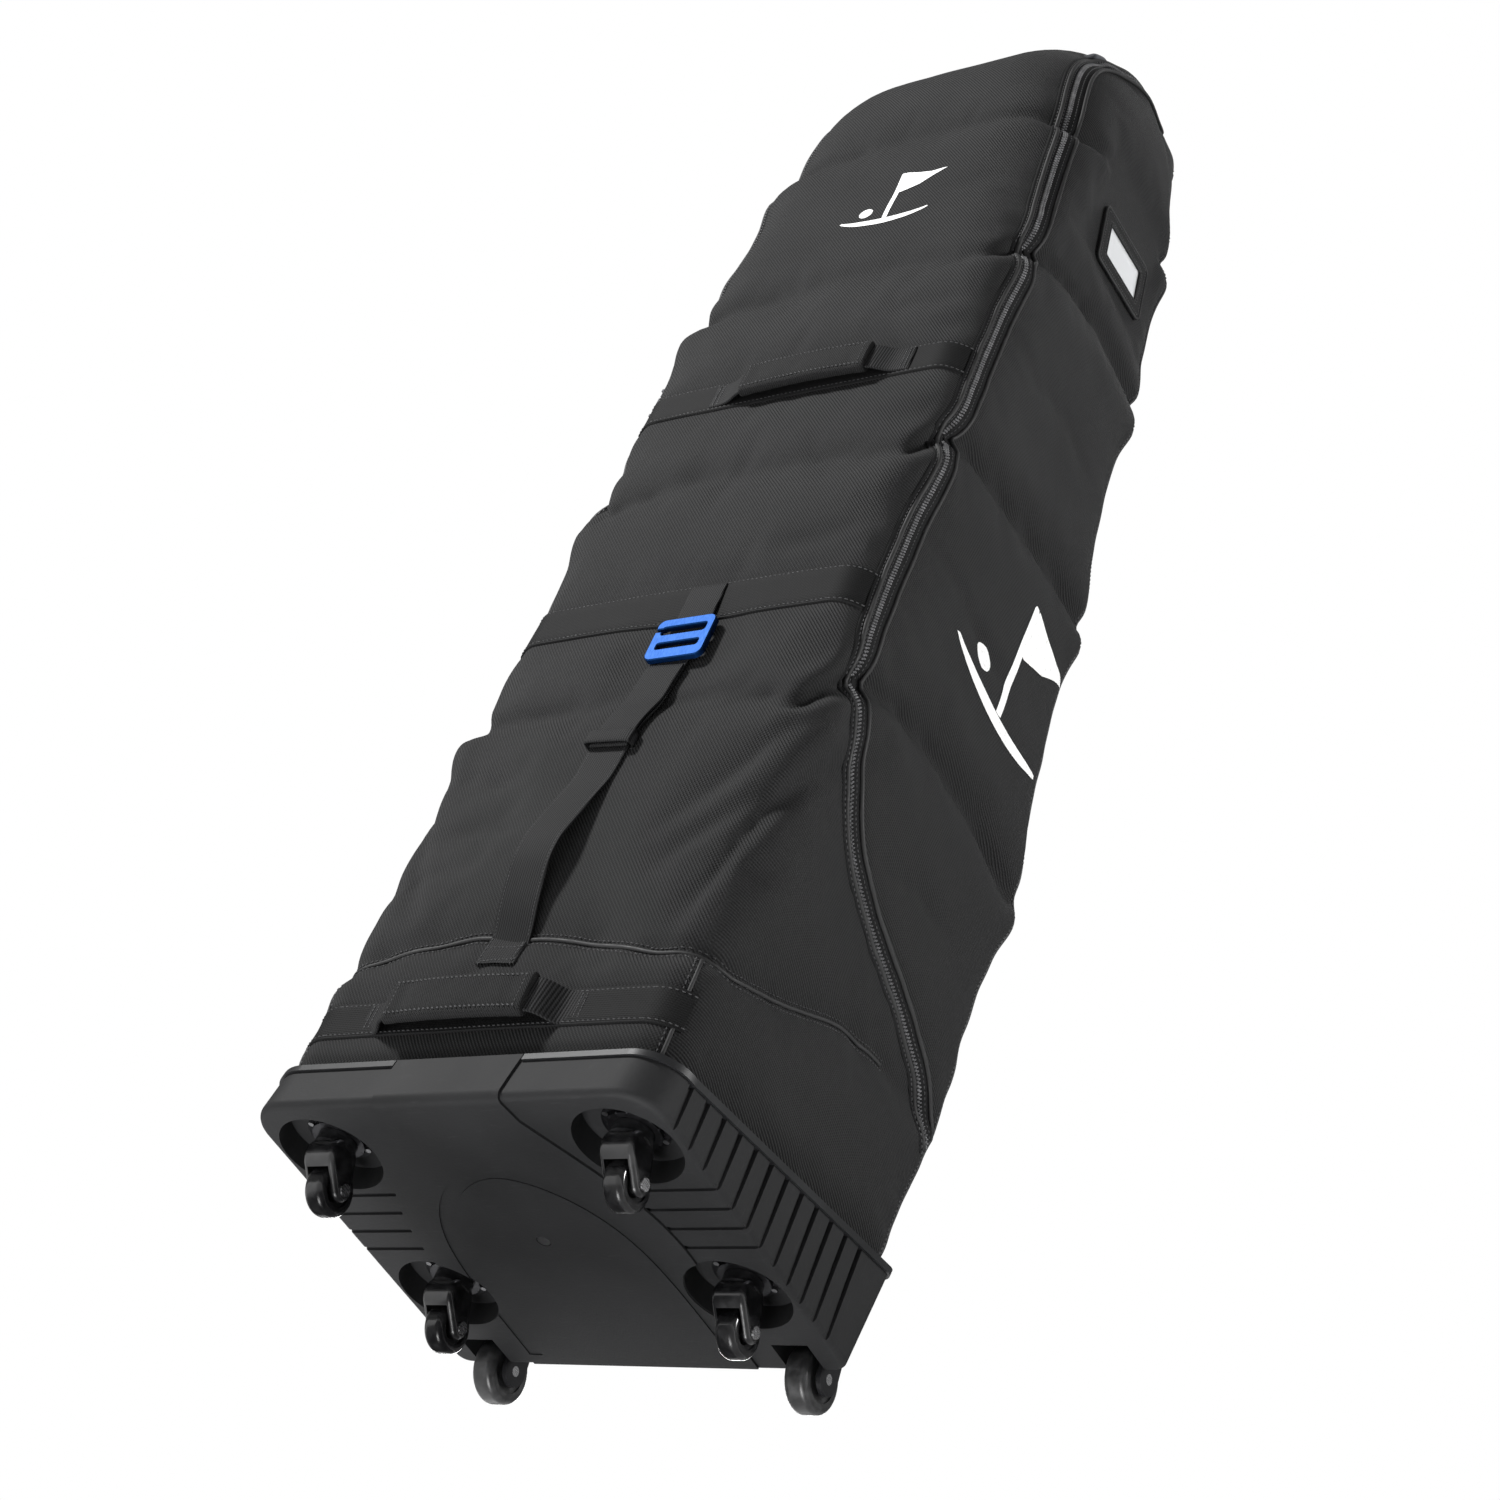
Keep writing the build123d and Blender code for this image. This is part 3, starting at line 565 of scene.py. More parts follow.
def signed_distance(places, line):
    """Distance of (y, z) places to a polyline, positive on its front side, and the nearest points."""
    best = np.full(len(places), 1e9)
    signed = np.zeros(len(places))
    nearest = np.zeros((len(places), 2))
    for a, b in zip(line[:-1], line[1:]):
        along = b - a
        share = np.clip(((places - a) @ along) / (along @ along), 0, 1)
        foot = a + share[:, None] * along
        away = places - foot
        distance = np.linalg.norm(away, axis=1)
        side = along[0] * away[:, 1] - along[1] * away[:, 0]
        closer = distance < best - 1e-9
        best = np.where(closer, distance, best)
        signed = np.where(closer, np.where(side > 0, distance, -distance), signed)
        nearest = np.where(closer[:, None], foot, nearest)
    return signed, nearest


# ---------------------------------------------------------------- folds and creases
def crease_loop(front, side, back_z, lift=0.0, slip=0.0):
    """A crease round the bag: (x, z) across the front, (y, z) along each side, back_z behind."""
    right = [(half_width, y, z) for y, z in side]
    left = [(-half_width, y, z + lift) for y, z in reversed(side)]
    rear_y = float(rear_line(back_z))
    behind = [(x, rear_y, back_z + slip * math.sin(x / 45)) for x in np.linspace(130, -130, 9)]
    across = [(x, front_y - 3, z) for x, z in front]
    return across + right + behind + left + across[:1]


# Each crease: its loop, then how deep it is on the front, on the sides and on the back.
creases = {
    "boot": (
        crease_loop(
            [(-148, 176), (-92, 190), (-41, 196), (20, 190), (72, 181), (130, 170)],
            [(-120, 172), (-60, 200), (5, 236), (70, 252), (140, 262)],
            272, 4, 2,
        ),
        0.75, 0.55, 0.2,
    ),
    "fold": (
        crease_loop(
            [(-148, 424), (-74, 432), (-18, 437), (50, 431), (115, 423), (150, 410)],
            [(-118, 470), (-82, 484), (2, 503), (80, 503), (149, 499)],
            505, -8, 3,
        ),
        1.05, 1.25, 0.8,
    ),
    "middle": (
        crease_loop(
            [(-148, 684), (-100, 700), (-50, 711), (50, 712), (110, 704), (150, 706)],
            [(-124, 752), (-98, 758), (-45, 766), (0, 775), (60, 786), (122, 793)],
            790, 9, 3,
        ),
        1.0, 1.25, 0.8,
    ),
    "upper": (
        crease_loop(
            [(-150, 955), (-105, 966), (-23, 974), (58, 977), (120, 972), (150, 978)],
            [(-126, 1008), (-110, 1020), (-60, 1038), (-12, 1053), (66, 1057), (110, 1056)],
            1056, -7, 4,
        ),
        1.0, 1.25, 0.8,
    ),
    "shoulder": (
        crease_loop(
            [(-140, 1182), (-87, 1194), (-15, 1206), (92, 1207), (140, 1206)],
            [(-128, 1200), (-110, 1210), (-70, 1226), (-20, 1240), (19, 1246), (70, 1249)],
            1250, 6, 3,
        ),
        1.05, 1.25, 0.8,
    ),
}
# Short wrinkles: points near the cloth, which they are laid on, and how deep each one is.
loose_creases = [
    ([(165, -86, 418), (160, -128, 352), (152, -147, 290), (140, -154, 230), (128, -155, 190)], 1.0),
    ([(165, -100, 446), (156, -140, 400), (132, -155, 344), (96, -157, 300), (70, -158, 276)], 0.6),
    ([(158, -142, 330), (138, -154, 300), (108, -157, 268), (84, -158, 240)], 0.55),
    ([(-165, -92, 420), (-158, -134, 360), (-146, -152, 300), (-128, -156, 250), (-110, -157, 214)],
     0.8),
    ([(-150, -150, 372), (-118, -156, 356), (-84, -158, 350), (-60, -158, 340)], 0.5),
    ([(-150, -150, 306), (-116, -156, 300), (-80, -158, 306), (-44, -158, 300)], 0.55),
    ([(-146, -152, 252), (-108, -157, 262), (-74, -158, 258)], 0.4),
    ([(150, -150, 620), (120, -156, 606), (84, -158, 600), (40, -159, 604)], 0.35),
    ([(-150, -150, 900), (-112, -156, 894), (-70, -158, 898)], 0.4),
    ([(150, -150, 908), (104, -157, 912), (58, -159, 904)], 0.35),
    ([(146, -150, 1100), (96, -157, 1090), (30, -158, 1096)], 0.25),
    ([(165, -60, 640), (165, 0, 628), (165, 60, 640)], 0.35),
    ([(165, -70, 900), (165, -10, 916), (165, 60, 908)], 0.35),
    ([(165, -20, 370), (165, 40, 392), (165, 110, 388)], 0.4),
    ([(-165, -60, 640), (-165, 0, 652), (-165, 60, 640)], 0.35),
    ([(-165, -70, 930), (-165, -10, 916), (-165, 60, 920)], 0.35),
    ([(120, 150, 640), (40, 152, 650), (-60, 152, 640)], 0.35),
    ([(120, 128, 900), (20, 128, 916), (-80, 128, 908)], 0.35),
]
pinch_heights = (466, 758, 1014, 1216)


def base_shell():
    """The undisturbed bag: level sections, closer together over the dome, closed along the crown."""
    straight = np.linspace(bottom_z, dome_centre[1], 122)
    dome = dome_centre[1] + top_front_round * np.sin(np.linspace(0, math.pi / 2, 27)[1:])
    levels = np.concatenate([straight, dome])
    points = [point for z in levels for point in ring(float(z))]
    faces = grid_faces(len(levels), ring_count, closed=True)
    last = (len(levels) - 1) * ring_count
    count = len(points)
    for i in range(ring_half // 2):
        right = (i, i + 1, ring_half - i - 1, ring_half - i)
        left = (ring_count - i - 1, (ring_count - i) % ring_count, ring_half + i, ring_half + i + 1)
        for corners in (right, left):
            face = tuple(dict.fromkeys(last + corner for corner in corners))
            if len(face) > 2 and max(face) < count:
                faces.append(face)
    return np.array(points), faces


def on_cut(points, faces, line):
    """Move the points next to the cut onto it, so that no edge crosses it."""
    places = points[:, 1:]
    signed, foot = signed_distance(places, line)
    moved = set()
    for face in faces:
        for a, b in zip(face, face[1:] + face[:1]):
            if signed[a] * signed[b] < 0:
                moved.add(a if abs(signed[a]) < abs(signed[b]) else b)
    for index in moved:
        points[index, 1:] = foot[index]
        signed[index] = 0.0
    return points, signed, moved


def split_faces(faces, signed):
    """Quads with the cut along a diagonal become two triangles."""
    result = []
    for face in faces:
        signs = [np.sign(signed[i]) for i in face]
        crossed = len(face) == 4 and 1 in signs and -1 in signs
        if crossed and signs[0] == 0 and signs[2] == 0:
            result += [face[:3], (face[0], *face[2:])]
        elif crossed and signs[1] == 0 and signs[3] == 0:
            result += [(*face[:2], face[3]), face[1:]]
        else:
            result.append(face)
    return result


def rim_height(y):
    """Height of the base's rim, level in front and rising to the rear."""
    return rim_level + (rim_back - rim_level) * np.clip((y - rim_knee) / (rim_back_y - rim_knee), 0, 1)


def crease_field(points, surface, path):
    """For each point: distance to a crease, signed upwards, and how far along the crease it is."""
    samples = resampled(path, 3.0)
    samples = np.array([surface.find_nearest(Vector(p))[0] for p in samples])
    samples = eased(samples, 4)
    tree = KDTree(len(samples))
    for index, sample in enumerate(samples):
        tree.insert(sample, index)
    tree.balance()
    distance = np.zeros(len(points))
    share = np.zeros(len(points))
    for index, point in enumerate(points):
        place, found, away = tree.find(point)
        distance[index] = away if point[2] >= place[2] else -away
        share[index] = found / (len(samples) - 1)
    return distance, share


def crease_profile(distance, groove, above, below):
    """A sharp valley with a soft roll of cloth above and below it."""
    up = np.clip(distance, 0, None) / 24
    down = np.clip(-distance, 0, None) / 17
    valley = -groove * np.exp(-np.abs(distance) / 4.8)
    return valley + above * up * np.exp(1 - up) + below * down * np.exp(1 - down)


def wrinkle(point):
    """Small random-looking waves in the cloth, from Blender's fixed gradient noise."""
    x, y, z = point
    broad = noise.noise(Vector((x / 95, y / 95, z / 46)))
    medium = noise.noise(Vector((x / 46 + 7, y / 46, z / 21 + 0.25 * x / 46)))
    fine = noise.noise(Vector((x / 22 + 3, y / 22, z / 13)))
    return 1.2 * broad + 0.6 * medium + 0.25 * fine


def soft_displacement(points, normals, signed, surface):
    """How far each point of the bag stands off the plain outline, and how firmly it is held."""
    x, y, z = points.T
    lift = np.array([wrinkle(point) for point in points])
    hold = np.zeros(len(points))
    on_front = np.clip(-normals[:, 1], 0, 1)
    on_side = np.abs(normals[:, 0])
    on_back = np.clip(normals[:, 1], 0, 1)
    lift += 3.5 * on_front * np.clip(1 - (x / half_width) ** 2, 0, 1)
    middle = (y - (front_line(z) + rear_line(z)) / 2) / 150
    lift += 3.0 * on_side * np.clip(1 - middle ** 2, 0, 1)
    for path, front_depth, side_depth, back_depth in creases.values():
        distance, _ = crease_field(points, surface, path)
        ends = 0.45 + 0.55 * np.clip(np.abs(x) / 150, 0, 1) ** 2
        depth = on_front * front_depth * ends + on_side * side_depth + on_back * back_depth
        lift += depth * crease_profile(distance, 11.0, 2.6, 6.2)
        hold = np.maximum(hold, np.clip(depth * 1.3, 0, 1) * np.exp(-(distance / 7) ** 2))
    for path, depth in loose_creases:
        distance, share = crease_field(points, surface, path)
        fade = np.sin(np.pi * np.clip(share, 0.06, 1.0)) ** 0.7
        lift += depth * fade * crease_profile(distance, 8.5, 3.2, 4.8)
        hold = np.maximum(hold, 0.9 * depth * fade * np.exp(-(distance / 5) ** 2))
    has_zip = z > 240
    lift -= 2.0 * np.exp(-(signed / 13) ** 2) * has_zip
    for height in pinch_heights:
        lift -= 5.0 * np.exp(-(signed / 30) ** 2) * np.exp(-((z - height) / 22) ** 2) * has_zip
    hold = np.maximum(hold, np.exp(-(signed / 6) ** 2) * (z > 200))
    on_band = np.zeros(len(points), bool)
    for band in ("lower_band", "middle_band", "upper_band"):
        low, high = box_mm(band)
        on_band |= (z > low[2] - 4) & (z < high[2] + 4) & (y < front_y + 12)
    lift = np.where(on_band, lift * 0.6, lift)
    hold = np.where(on_band, np.maximum(hold, 0.7), hold)
    hook_x, hook_z = hook_x_middle(), 498
    near_hook = np.exp(-(((x - hook_x) / 52) ** 4)) * np.exp(-(((z - hook_z) / 50) ** 4))
    near_hook *= y < front_y + 10
    lift = lift * (1 - near_hook)
    hold = np.maximum(hold, near_hook)
    # Behind the pocket, and above it where the card slides out, the cloth lies flat.
    low, high = box_mm("id_pocket")
    card_travel = 62
    above = np.maximum(low[2] - z, z - high[2] - card_travel)
    margin = np.maximum(np.maximum(low[1] - 10 - y, y - high[1]), above)
    flat = np.clip(margin / 20, 0, 1) * (x > 100) + (x <= 100)
    lift = lift * flat - 0.4 * (1 - flat)
    hold = np.maximum(hold, 1 - flat)
    over_rim = z - rim_height(y)
    lift += 3.0 * np.exp(-((over_rim - 24) / 16) ** 2)
    lift *= np.clip((over_rim - 2) / 14, 0, 1)
    hold = np.maximum(hold, 1 - np.clip((over_rim - 6) / 16, 0, 1))
    return lift, np.clip(hold, 0, 1)


def hook_x_middle():
    """Where the hook buckle's middle is, left to right."""
    low, high = box_mm("hook_buckle")
    return (low[0] + high[0]) / 2


def simulate_cloth(piece, hold):
    """Swell the piece under air pressure as a cloth, held where hold is 1, moved at most cap mm."""
    pressure, slack, cap, frames = 3.0, -0.006, 8.0, 20
    group = piece.vertex_groups.new(name="hold")
    for index, weight in enumerate(hold):
        if weight > 0.01:
            group.add([index], float(weight), "REPLACE")
    before = np.array([vertex.co for vertex in piece.data.vertices], float)
    cloth = piece.modifiers.new("cloth", "CLOTH")
    settings = cloth.settings
    settings.quality = 6
    settings.mass = 0.35
    settings.tension_stiffness = 22
    settings.compression_stiffness = 22
    settings.shear_stiffness = 8
    settings.bending_stiffness = 0.6
    settings.use_pressure = True
    settings.uniform_pressure_force = pressure
    settings.shrink_min = slack
    settings.effector_weights.gravity = 0
    settings.vertex_group_mass = "hold"
    settings.pin_stiffness = 1.0
    cloth.collision_settings.use_collision = False
    cloth.point_cache.frame_start = 1
    cloth.point_cache.frame_end = frames
    for number in range(1, frames + 1):
        scene.frame_set(number)
    depsgraph = bpy.context.evaluated_depsgraph_get()
    swollen = piece.evaluated_get(depsgraph).to_mesh()
    after = np.array([vertex.co for vertex in swollen.vertices], float)
    piece.evaluated_get(depsgraph).to_mesh_clear()
    piece.modifiers.clear()
    scene.frame_set(1)
    move = after - before
    length = np.linalg.norm(move, axis=1, keepdims=True)
    limit = cap * MM
    move *= np.minimum(1, limit * np.tanh(length / limit) / np.maximum(length, 1e-9))
    piece.data.vertices.foreach_set("co", (before + move).astype(np.float32).ravel())
    piece.data.update()
    piece.vertex_groups.clear()


def vertex_normals(piece):
    """The smooth normal at each vertex."""
    normals = np.zeros(len(piece.data.vertices) * 3, np.float32)
    piece.data.vertices.foreach_get("normal", normals)
    return normals.reshape(-1, 3)


def part_of(piece, name, keep, materials):
    """A new piece made of some of a piece's faces."""
    chosen = [tuple(polygon.vertices) for polygon, wanted in zip(piece.data.polygons, keep) if wanted]
    used = sorted(set(index for face in chosen for index in face))
    renumber = {old: new for new, old in enumerate(used)}
    points = [np.array(piece.data.vertices[index].co) / MM for index in used]
    return mesh_piece(name, points, [tuple(renumber[i] for i in face) for face in chosen], materials)


def thickened(piece, thickness):
    """The piece with a wall behind its faces, whose inside takes the second material."""
    modifier = piece.modifiers.new("wall", "SOLIDIFY")
    modifier.thickness = thickness * MM
    modifier.offset = -1
    modifier.use_even_offset = False
    modifier.material_offset = 1
    return baked(piece)


class Surface:
    """Nearest place and smooth normal on a finished mesh, in millimetres."""

    def __init__(self, piece):
        self.points = np.array([vertex.co for vertex in piece.data.vertices], float) / MM
        self.normals = vertex_normals(piece)
        self.faces = [tuple(polygon.vertices) for polygon in piece.data.polygons]
        self.tree = BVHTree.FromPolygons([Vector(p) for p in self.points], self.faces)

    def at(self, place):
        """The nearest place on the mesh and the normal there."""
        spot, _, face, _ = self.tree.find_nearest(Vector(place))
        spot = np.array(spot)
        corners = list(self.faces[face])
        reach = 1 / (np.linalg.norm(self.points[corners] - spot, axis=1) + 0.4)
        return spot, unit(reach @ self.normals[corners])

    def line(self, places):
        """Places laid on the surface, with their normals."""
        found = [self.at(place) for place in places]
        return np.array([f[0] for f in found]), np.array([f[1] for f in found])


def make_bag():
    """The padded bag: outline, creases, cloth simulation, then a front and a rear shell."""
    points, faces = base_shell()
    line = cut_outline()
    points, signed, moved = on_cut(points, faces, line)
    faces = split_faces(faces, signed)
    whole = mesh_piece("bag_whole", points, faces, [fabric, lining])
    close_up(whole)
    whole_faces = [tuple(polygon.vertices) for polygon in whole.data.polygons]
    surface = BVHTree.FromPolygons([Vector(p) for p in points], whole_faces)
    normals = vertex_normals(whole)
    in_front = []
    for polygon in whole.data.polygons:
        values = [signed[i] for i in polygon.vertices]
        centre = np.mean([points[i] for i in polygon.vertices], axis=0)
        in_front.append(max(values) > 0 or (min(values) == 0 and centre[1] < 0))
    lift, hold = soft_displacement(points, normals, signed, surface)
    for index in moved:
        hold[index] = 1.0
    shaped = points + normals * lift[:, None]
    whole.data.vertices.foreach_set("co", (shaped * MM).astype(np.float32).ravel())
    whole.data.update()
    simulate_cloth(whole, hold)
    front = part_of(whole, "shell_front", in_front, [fabric, lining])
    rear = part_of(whole, "shell_rear", [not value for value in in_front], [fabric, lining])
    subdivided(whole)
    outside = Surface(whole)
    bpy.data.objects.remove(whole)
    for shell in (front, rear):
        subdivided(shell)
        thickened(shell, wall)
    front_nodes = ("boot_front", "boot_side_right", "boot_side_left", "lid_panel", "lid_top")
    finish_piece(front, "case", front_nodes, "lid")
    finish_piece(rear, "case", ("back_panel", "side_panel_right", "side_panel_left"))
    return outside


# ---------------------------------------------------------------- things laid on the cloth
def across_directions(normals, along):
    """Directions on the surface, square to a path."""
    return unit(np.cross(normals, along))


def strip_on(name, outside, path, offsets, lifts, material):
    """A strip along a path on the cloth; each column is offset mm aside and lifted off the surface."""
    path, normals = outside.line(path)
    aside = across_directions(normals, tangents(path))
    points = []
    for place, direction in zip(path, aside):
        for offset, lift in zip(offsets, lifts):
            spot, normal = outside.at(place + direction * offset)
            points.append(spot + normal * lift)
    return mesh_piece(name, points, grid_faces(len(path), len(offsets)), [material])


def facing_out(piece, outside):
    """Turn an open strip's faces to look away from the bag."""
    polygon = piece.data.polygons[len(piece.data.polygons) // 2]
    _, normal = outside.at(np.array(polygon.center) / MM)
    if np.dot(normal, np.array(polygon.normal)) < 0:
        piece.data.flip_normals()
    return piece


def band_profile(half, thickness, tuck=0.8):
    """Offsets and lifts of a flat band with rounded edges that dip into the cloth."""
    edge = thickness * 0.6
    rising = [-half, -half + 0.15, -half + edge, -half * 0.5]
    lifts = [-tuck, thickness * 0.55, thickness, thickness]
    return rising + [0] + [-offset for offset in rising[::-1]], lifts + [thickness] + lifts[::-1]


def tube_along(name, path, normals, radius, material, sides=8, squash=1.0):
    """A round cord along a path, its section set square to it."""
    along = tangents(path)
    aside = unit(np.cross(normals, along))
    up = unit(np.cross(along, aside))
    points = []
    for place, out, side in zip(path, up, aside):
        for step in range(sides):
            angle = 2 * math.pi * step / sides
            points.append(place + side * radius * math.cos(angle)
                          + out * radius * squash * math.sin(angle))
    faces = grid_faces(len(path), sides, closed=True)
    faces += [tuple(range(sides)), tuple(range(len(points) - sides, len(points)))]
    return close_up(mesh_piece(name, points, faces, [material]))


def grains(name, places, along, normals, size, material):
    """Many small stitches or teeth: rounded lozenges of size (length, width, height) in mm."""
    length, width, height = size
    points, faces = [], []
    outline = [(-0.5, 0), (-0.3, -0.5), (0.3, -0.5), (0.5, 0), (0.3, 0.5), (-0.3, 0.5)]
    for place, direction, normal in zip(places, along, normals):
        side = np.cross(normal, direction)
        first = len(points)
        for u, v in outline:
            points.append(place + direction * u * length + side * v * width - normal * 0.3)
        for u, v in outline:
            points.append(place + direction * u * length * 0.8 + side * v * width * 0.6
                          + normal * height)
        count = len(outline)
        for k in range(count):
            after = (k + 1) % count
            faces.append((first + k, first + after, first + count + after, first + count + k))
        faces.append(tuple(first + count + k for k in range(count)))
    return mesh_piece(name, points, faces, [material])


def stitch_row(name, outside, path, offset, lift, pitch=4.2):
    """A row of stitches beside a path on the cloth."""
    places, normals = outside.line(resampled(path, pitch))
    along = tangents(places)
    aside = across_directions(normals, along)
    places, normals = outside.line(places + aside * offset)
    return grains(name, places + normals * lift, along, normals, (3.0, 0.9, 0.45), thread)


def joined(name, pieces):
    """Several meshes as one object."""
    with bpy.context.temp_override(active_object=pieces[0], selected_editable_objects=pieces):
        bpy.ops.object.join()
    pieces[0].name = name
    pieces[0].data.name = name
    return pieces[0]


# ---------------------------------------------------------------- zip
def zip_path(outside):
    """The zip's route over the finished bag: up the right side, over the crown, down the left."""
    outline = zip_outline()
    right = [side_point(1, y, z) for y, z in outline]
    left = [side_point(-1, y, z) for y, z in outline[::-1]]
    top = float(half_width_at(top_z))
    crown = [(x, lid_rear_y, top_z) for x in np.linspace(top - 6, 6 - top, 16)]
    route = eased(resampled(right + crown + left, 6), 3)
    return eased(outside.line(route)[0], 2)


def make_zip(outside):
    """Both halves of the zip: tape, piping, stitches and teeth. The front half is baked in place, not hung
    on a body.
    """
    path = zip_path(outside)
    for name, side, to_body in (("lid", 1, "lid"), ("case", -1, None)):
        parts = []
        offsets = [side * value for value in (0.9, 1.1, 3.2, 6.0, 9.0, 12.5, 14.0, 14.4)]
        lifts = [-0.6, 1.1, 1.35, 1.2, 1.0, 1.0, 0.7, -0.8]
        parts.append(facing_out(strip_on("tape", outside, path, offsets, lifts, zip_tape_look), outside))
        ridge_at, ridge_radius = (7.6, 2.1) if side > 0 else (12.6, 1.9)
        places, normals = outside.line(path)
        aside = across_directions(normals, tangents(places))
        ridge, ridge_normals = outside.line(places + aside * side * ridge_at)
        ridge = eased(ridge + ridge_normals * 1.6, 1)
        parts.append(tube_along("ridge", ridge, ridge_normals, ridge_radius, piping_look, 10, 0.85))
        row_at = 10.6 if side > 0 else 6.4
        parts.append(stitch_row("stitches", outside, path, side * row_at, 1.2))
        if side > 0:
            parts.append(stitch_row("stitches", outside, path, side * 4.6, 1.5))
        teeth_path, teeth_normals = outside.line(resampled(path, 3.1))
        shift = 0.0 if side > 0 else 1.5
        along = tangents(teeth_path)
        aside = across_directions(teeth_normals, along)
        places = teeth_path + aside * side * 1.15 + teeth_normals * 1.1 + along * shift
        parts.append(grains("teeth", places, aside, teeth_normals, (3.0, 1.7, 1.0), teeth_look))
        piece = joined(f"zip_{name}_half", parts)
        replaced = ("zip_track_right", "zip_track_left") if side > 0 else ()
        finish_piece(piece, "case", replaced, to_body)


# ---------------------------------------------------------------- webbing bands and grips
def make_bands(outside):
    """The webbing across the front, turned round both corners to the zip."""
    for node_name, body in (("lower_band", "case"), ("middle_band", "lid"), ("upper_band", "lid")):
        low, high = box_mm(node_name)
        middle, half = (low[2] + high[2]) / 2, (high[2] - low[2]) / 2
        turn = float(corner_radii(middle)[0])
        centre = (half_width - turn, front_y + turn)
        bend = arc(centre, turn, turn, np.radians(np.linspace(-88, -36, 10)))
        corner = [(x, y, middle) for x, y in bend]
        flat = [(x, front_y - 3, middle) for x in np.linspace(-centre[0], centre[0], 80)]
        path = [(-x, y, z) for x, y, z in corner[::-1]] + flat + corner
        strip = strip_on("band", outside, path, *band_profile(half, webbing), band_webbing)
        facing_out(strip, outside)
        rows = [stitch_row("row", outside, path, side * (half - 3), webbing) for side in (-1, 1)]
        finish_piece(joined(f"{node_name}_webbing", [strip] + rows), body, (node_name,))


def rounded_section(width, height, power=4.0, count=36):
    """A soft-cornered closed outline."""
    angles = np.linspace(0, 2 * math.pi, count, endpoint=False)
    u = np.sign(np.cos(angles)) * np.abs(np.cos(angles)) ** (2 / power)
    v = np.sign(np.sin(angles)) * np.abs(np.sin(angles)) ** (2 / power)
    return np.stack([u * width / 2, v * height / 2], axis=1)


def make_grip(node_name, body):
    """A padded wrap round the carrying webbing, hemmed at both ends, with its long seam."""
    low, high = box_mm(node_name)
    thick, tall = high[1] - low[1], high[2] - low[2]
    middle_y, middle_z = (low[1] + high[1]) / 2, (low[2] + high[2]) / 2
    end_bow = 2.2
    section = rounded_section(thick, tall, 3.2)
    rows, count = 46, len(section)
    points = []
    for row in range(rows):
        share = row / (rows - 1)
        x = low[0] + share * (high[0] - low[0])
        hem = 1.0 + 0.05 * math.exp(-((min(share, 1 - share) - 0.045) / 0.03) ** 2)
        waist = 1 - 0.07 * math.exp(-((min(share, 1 - share) - 0.12) / 0.035) ** 2)
        bow = end_bow * (2 * share - 1) ** 2
        for u, v in section:
            ripple = 0.5 * noise.noise(Vector((x / 16, u / 9 + 4, v / 11)))
            y = middle_y + u * waist * hem * 0.94 + bow + ripple
            z = middle_z + v * (0.965 + 0.02 * (hem - 1)) + ripple * 0.4
            points.append((x, y, z))
    faces = grid_faces(rows, count, closed=True)
    for begin, inset in ((0, 1.2), (len(points) - count, -1.2)):
        rim = np.array(points[begin:begin + count])
        centre = rim.mean(axis=0)
        first = len(points)
        points += list(map(tuple, centre + (rim - centre) * 0.72 + np.array([inset, 0, 0])))
        for k in range(count):
            after = (k + 1) % count
            faces.append((begin + k, begin + after, first + after, first + k))
        faces.append(tuple(range(first, first + count)))
    wrap = close_up(mesh_piece("wrap", points, faces, [fabric_smooth]))
    subdivided(wrap)
    parts = [wrap]
    for height in (-tall * 0.36, tall * 0.36):
        x = np.arange(low[0] + 4, high[0] - 4, 4.0)
        share = (x - low[0]) / (high[0] - low[0])
        depth = middle_y - thick * 0.43 + end_bow * (2 * share - 1) ** 2
        places = np.stack([x, depth, np.full(len(x), middle_z + height)], axis=1)
        row = grains("row", places, tangents(places), facing(forward, x), (2.8, 0.9, 0.6), thread)
        parts.append(row)
    for x in (low[0] + 5.5, high[0] - 5.5):
        z = np.arange(-tall * 0.36, tall * 0.37, 3.6)
        share = (x - low[0]) / (high[0] - low[0])
        depth = middle_y - thick * 0.45 + end_bow * (2 * share - 1) ** 2
        places = np.stack([np.full(len(z), x), np.full(len(z), depth), middle_z + z], axis=1)
        row = grains("row", places, tangents(places), facing(forward, z), (2.6, 0.9, 0.6), thread)
        parts.append(row)
    grip = joined(f"{node_name}_wrap", parts)
    finish_piece(grip, node_name, (node_name,))
    make_grip_tabs(node_name, body)


def flat_strap(name, path, half, thickness, material):
    """A flat strap of even thickness along a free path, its face turned forward."""
    along = tangents(path)
    aside = unit(np.cross(facing(forward, path), along))
    out = unit(np.cross(along, aside))
    edge = thickness * 0.45
    rising = [(-half + edge * 0.4, edge), (-half + edge * 1.6, thickness / 2)]
    falling = [(-u, v) for u, v in rising[::-1]]
    face_side = rising + [(0, thickness / 2)] + falling
    back_side = [(u, -v) for u, v in face_side[::-1]]
    section = [(-half, 0)] + face_side + [(half, 0)] + back_side
    points = []
    for place, side, face in zip(path, aside, out):
        points += [place + side * u + face * v for u, v in section]
    count = len(section)
    faces = grid_faces(len(path), count, closed=True)
    faces += [tuple(range(count)), tuple(range(len(points) - count, len(points)))]
    return close_up(mesh_piece(name, points, faces, [material]))


